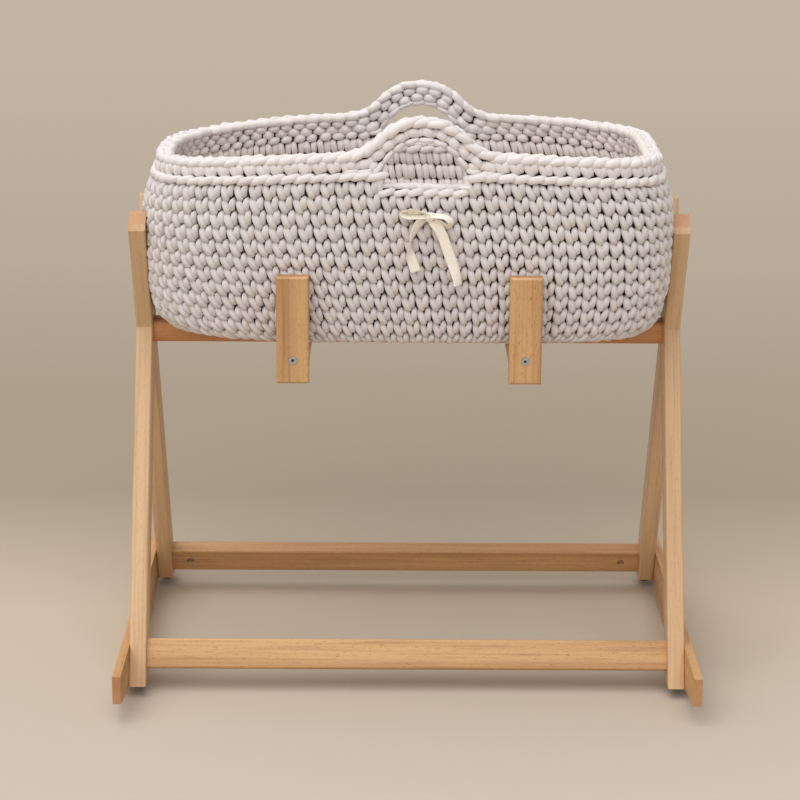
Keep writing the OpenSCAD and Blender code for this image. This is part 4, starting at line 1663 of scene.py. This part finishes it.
@dataclass
class Bow:
    """Bow of plain cotton tape tied on the front: two loops, two tails and a wrapped knot."""

    width: float = 0.0150
    thickness: float = 0.0005
    cup: float = 0.0006
    spacing: float = 0.0018
    least_points: int = 12
    least_side: float = 1e-6
    across: int = 9
    knot_middle: Triple = (0.0280, -0.1970, 0.7128)
    knot_depth: float = 0.0045
    knot_height: float = 0.0062
    knot_turn: float = 2.6
    knot_points: int = 11
    knot_share: float = 0.72
    finish: TapeFinish = TapeFinish()

    # Places of the tape's middle in metres, with the turn of its width about its line in degrees
    left_tail: Route = (
        (0.026, -0.1955, 0.713, 34), (0.014, -0.1975, 0.7055, 36), (0.0075, -0.1970, 0.694, 46),
        (0.0030, -0.1955, 0.682, 66), (0.0010, -0.1945, 0.671, 80), (0.0005, -0.1935, 0.661, 50),
        (0.0035, -0.1925, 0.648, 12), (0.0090, -0.1920, 0.632, 4))
    right_tail: Route = (
        (0.030, -0.1945, 0.712, 20), (0.0365, -0.1975, 0.702, 8), (0.0430, -0.1975, 0.692, 0),
        (0.0535, -0.1965, 0.665, 0), (0.0620, -0.1960, 0.642, 14), (0.0665, -0.1965, 0.628, 30),
        (0.0690, -0.1970, 0.613, 42))
    left_loop: Route = (
        (0.0265, -0.1965, 0.7155, 68), (0.013, -0.1985, 0.7200, 64), (0.000, -0.1985, 0.7216, 62),
        (-0.0110, -0.1985, 0.7185, 62), (-0.0045, -0.1975, 0.7142, 66), (0.010, -0.1965, 0.7138, 68),
        (0.0265, -0.1955, 0.7140, 72))
    right_loop: Route = (
        (0.0295, -0.1965, 0.7145, 74), (0.040, -0.1995, 0.7148, 74), (0.0505, -0.2005, 0.7128, 70),
        (0.0575, -0.1990, 0.7050, 52), (0.0535, -0.1960, 0.6990, 50), (0.043, -0.1950, 0.7045, 58),
        (0.0295, -0.1950, 0.7115, 66))

    def build(self) -> list[bpy.types.Object]:
        """Makes the bow.

        Returns:
            Its pieces.
        """
        cotton = self.finish.material("cotton_tape")
        x, y, z = self.knot_middle
        knot = tuple(
            (x, y - self.knot_depth * math.cos(turn), z + self.knot_height * math.sin(turn), 0.0)
            for turn in np.linspace(-self.knot_turn, self.knot_turn, self.knot_points))
        made = [
            self.ribbon(name, route, cotton, share) for name, route, share in (
                ("bow_left_tail", self.left_tail, 1.0), ("bow_right_tail", self.right_tail, 1.0),
                ("bow_left_loop", self.left_loop, 1.0), ("bow_right_loop", self.right_loop, 1.0),
                ("bow_knot", knot, self.knot_share))]
        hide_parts("tape_bow")
        return made

    def ribbon(
        self, name: str, route: Route, material: bpy.types.Material, width_share: float,
    ) -> bpy.types.Object:
        """Makes one stretch of tape along its route.

        Args:
            name: Name of the piece.
            route: Places of its middle and the turn of its width there.
            material: Its finish.
            width_share: Share of the tape's width that it keeps.

        Returns:
            The piece.
        """
        keys = np.array(route)
        chord = lengths_along(keys[:, :3])
        count = max(self.least_points, int(chord[-1] / self.spacing))
        fine = np.linspace(0, chord[-1], count)
        line = smooth_line(keys, chord, fine)
        heading = np.gradient(line[:, :3], fine, axis=0)
        heading /= np.linalg.norm(heading, axis=1)[:, None]
        beside = np.cross(heading, np.array([0.0, -1.0, 0.0]))
        beside /= np.maximum(np.linalg.norm(beside, axis=1), self.least_side)[:, None]
        raised = np.cross(beside, heading)
        turn = np.radians(line[:, 3:4])
        wide = beside * np.cos(turn) + raised * np.sin(turn)
        lift = np.cross(wide, heading)
        share = np.linspace(-0.5, 0.5, self.across)
        offsets = share * self.width * width_share
        cup = self.cup * (1 - (2 * share) ** 2)
        grid = (
            line[:, None, :3] + wide[:, None] * offsets[None, :, None] + lift[:, None] * cup[None, :, None])
        corners = np.arange(count * self.across).reshape(count, self.across)
        faces = np.stack(
            [corners[:-1, :-1], corners[:-1, 1:], corners[1:, 1:], corners[1:, :-1]], axis=-1)
        strand = np.zeros_like(grid)
        strand[:, :, 0] = fine[:, None]
        strand[:, :, 1] = offsets[None]
        piece = new_piece(name, grid.reshape(-1, 3), faces.reshape(-1, 4).tolist(), material, strand)
        self.thicken(piece)
        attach(piece, "basket")
        flat = (self.width * width_share, float(chord[-1]))
        log.info("tied %s", name)
        return piece

    def thicken(self, piece: bpy.types.Object) -> None:
        """Gives a piece of tape its thickness.

        Args:
            piece: The piece, still a single surface.
        """
        deselect_all()
        piece.select_set(True)
        bpy.context.view_layer.objects.active = piece
        solid = piece.modifiers.new("tape", "SOLIDIFY")
        solid.thickness = self.thickness
        solid.offset = 0.0
        bpy.ops.object.modifier_apply(modifier=solid.name)


@dataclass(frozen=True)
class Lamp:
    """Large soft lamp, far away."""

    name: str
    source: Triple
    strength: float
    spread: float

    def hang(self) -> None:
        """Puts the lamp in the scene."""
        data = bpy.data.lights.new(self.name, "SUN")
        data.energy = self.strength
        data.angle = math.radians(self.spread)
        lamp = bpy.data.objects.new(self.name, data)
        lamp.rotation_euler = Vector(self.source).to_track_quat("Z", "Y").to_euler()
        bpy.context.scene.collection.objects.link(lamp)


@dataclass
class Studio:
    """Camera at the photograph's place, pale floor and soft light."""

    focal_pixels: float = 2369.44
    frame_pixels: float = 800.0
    sensor: float = 36.0
    place: Triple = (-0.02545, -3.4795, 1.41095)
    pitch: float = 16.427
    yaw: float = -0.225
    roll: float = -0.349
    floor_half: float = 30.0
    floor: FloorFinish = FloorFinish()
    backdrop: Colour = (0.760, 0.708, 0.642)
    sky: Colour = (0.93, 0.925, 0.92)
    sky_strength: float = 0.56
    lamps: tuple[Lamp, ...] = (
        Lamp("front_light", (-0.40, -0.95, 1.60), 2.12, 70.0),
        Lamp("top_light", (-0.40, 0.38, 1.60), 0.56, 36.0))

    def build(self) -> None:
        """Sets the stage."""
        self.add_camera()
        self.add_floor()
        self.add_light()
        bpy.context.scene.view_settings.view_transform = "Standard"

    def add_camera(self) -> None:
        """Makes the camera."""
        data = bpy.data.cameras.new("camera")
        data.sensor_width = self.sensor
        data.lens = self.focal_pixels / self.frame_pixels * self.sensor
        camera = bpy.data.objects.new("camera", data)
        turn = Matrix.Identity(4)
        for angle, axis in ((self.yaw, "Z"), (-self.pitch, "X"), (self.roll, "Y"), (90, "X")):
            turn = turn @ Matrix.Rotation(math.radians(angle), 4, axis)
        camera.matrix_world = Matrix.Translation(self.place) @ turn
        bpy.context.scene.collection.objects.link(camera)
        bpy.context.scene.camera = camera

    def add_floor(self) -> None:
        """Makes the floor."""
        deselect_all()
        bpy.ops.mesh.primitive_plane_add(size=2 * self.floor_half)
        plane = bpy.context.object
        plane.name = "studio_floor"
        plane.data.materials.append(self.floor.material("studio_floor"))

    def add_light(self) -> None:
        """Makes the even light of the room and hangs the lamps."""
        graph = Graph("room", world=True)
        even = graph.node(
            "ShaderNodeBackground", None, {"Color": linear(self.sky), "Strength": self.sky_strength})
        seen = graph.node("ShaderNodeBackground", None, {"Color": linear(self.backdrop), "Strength": 1.0})
        camera, mirror, through = (
            graph.node("ShaderNodeLightPath", None, None, f"Is {ray} Ray")
            for ray in ("Camera", "Glossy", "Transmission"))
        direct = camera.either(mirror).either(through)
        mixed = graph.node("ShaderNodeMixShader", None, {0: direct, 1: even, 2: seen})
        graph.close("ShaderNodeOutputWorld", mixed)
        bpy.context.scene.world = graph.owner
        for lamp in self.lamps:
            lamp.hang()


def main() -> None:
    """Builds the stage, dresses the stand and makes the basket and its bow."""
    logging.basicConfig(level=logging.INFO, format="%(message)s")
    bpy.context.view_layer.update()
    Studio().build()
    Stand().dress()
    Basket().build()
    Bow().build()


if __name__ == "__main__":
    main()
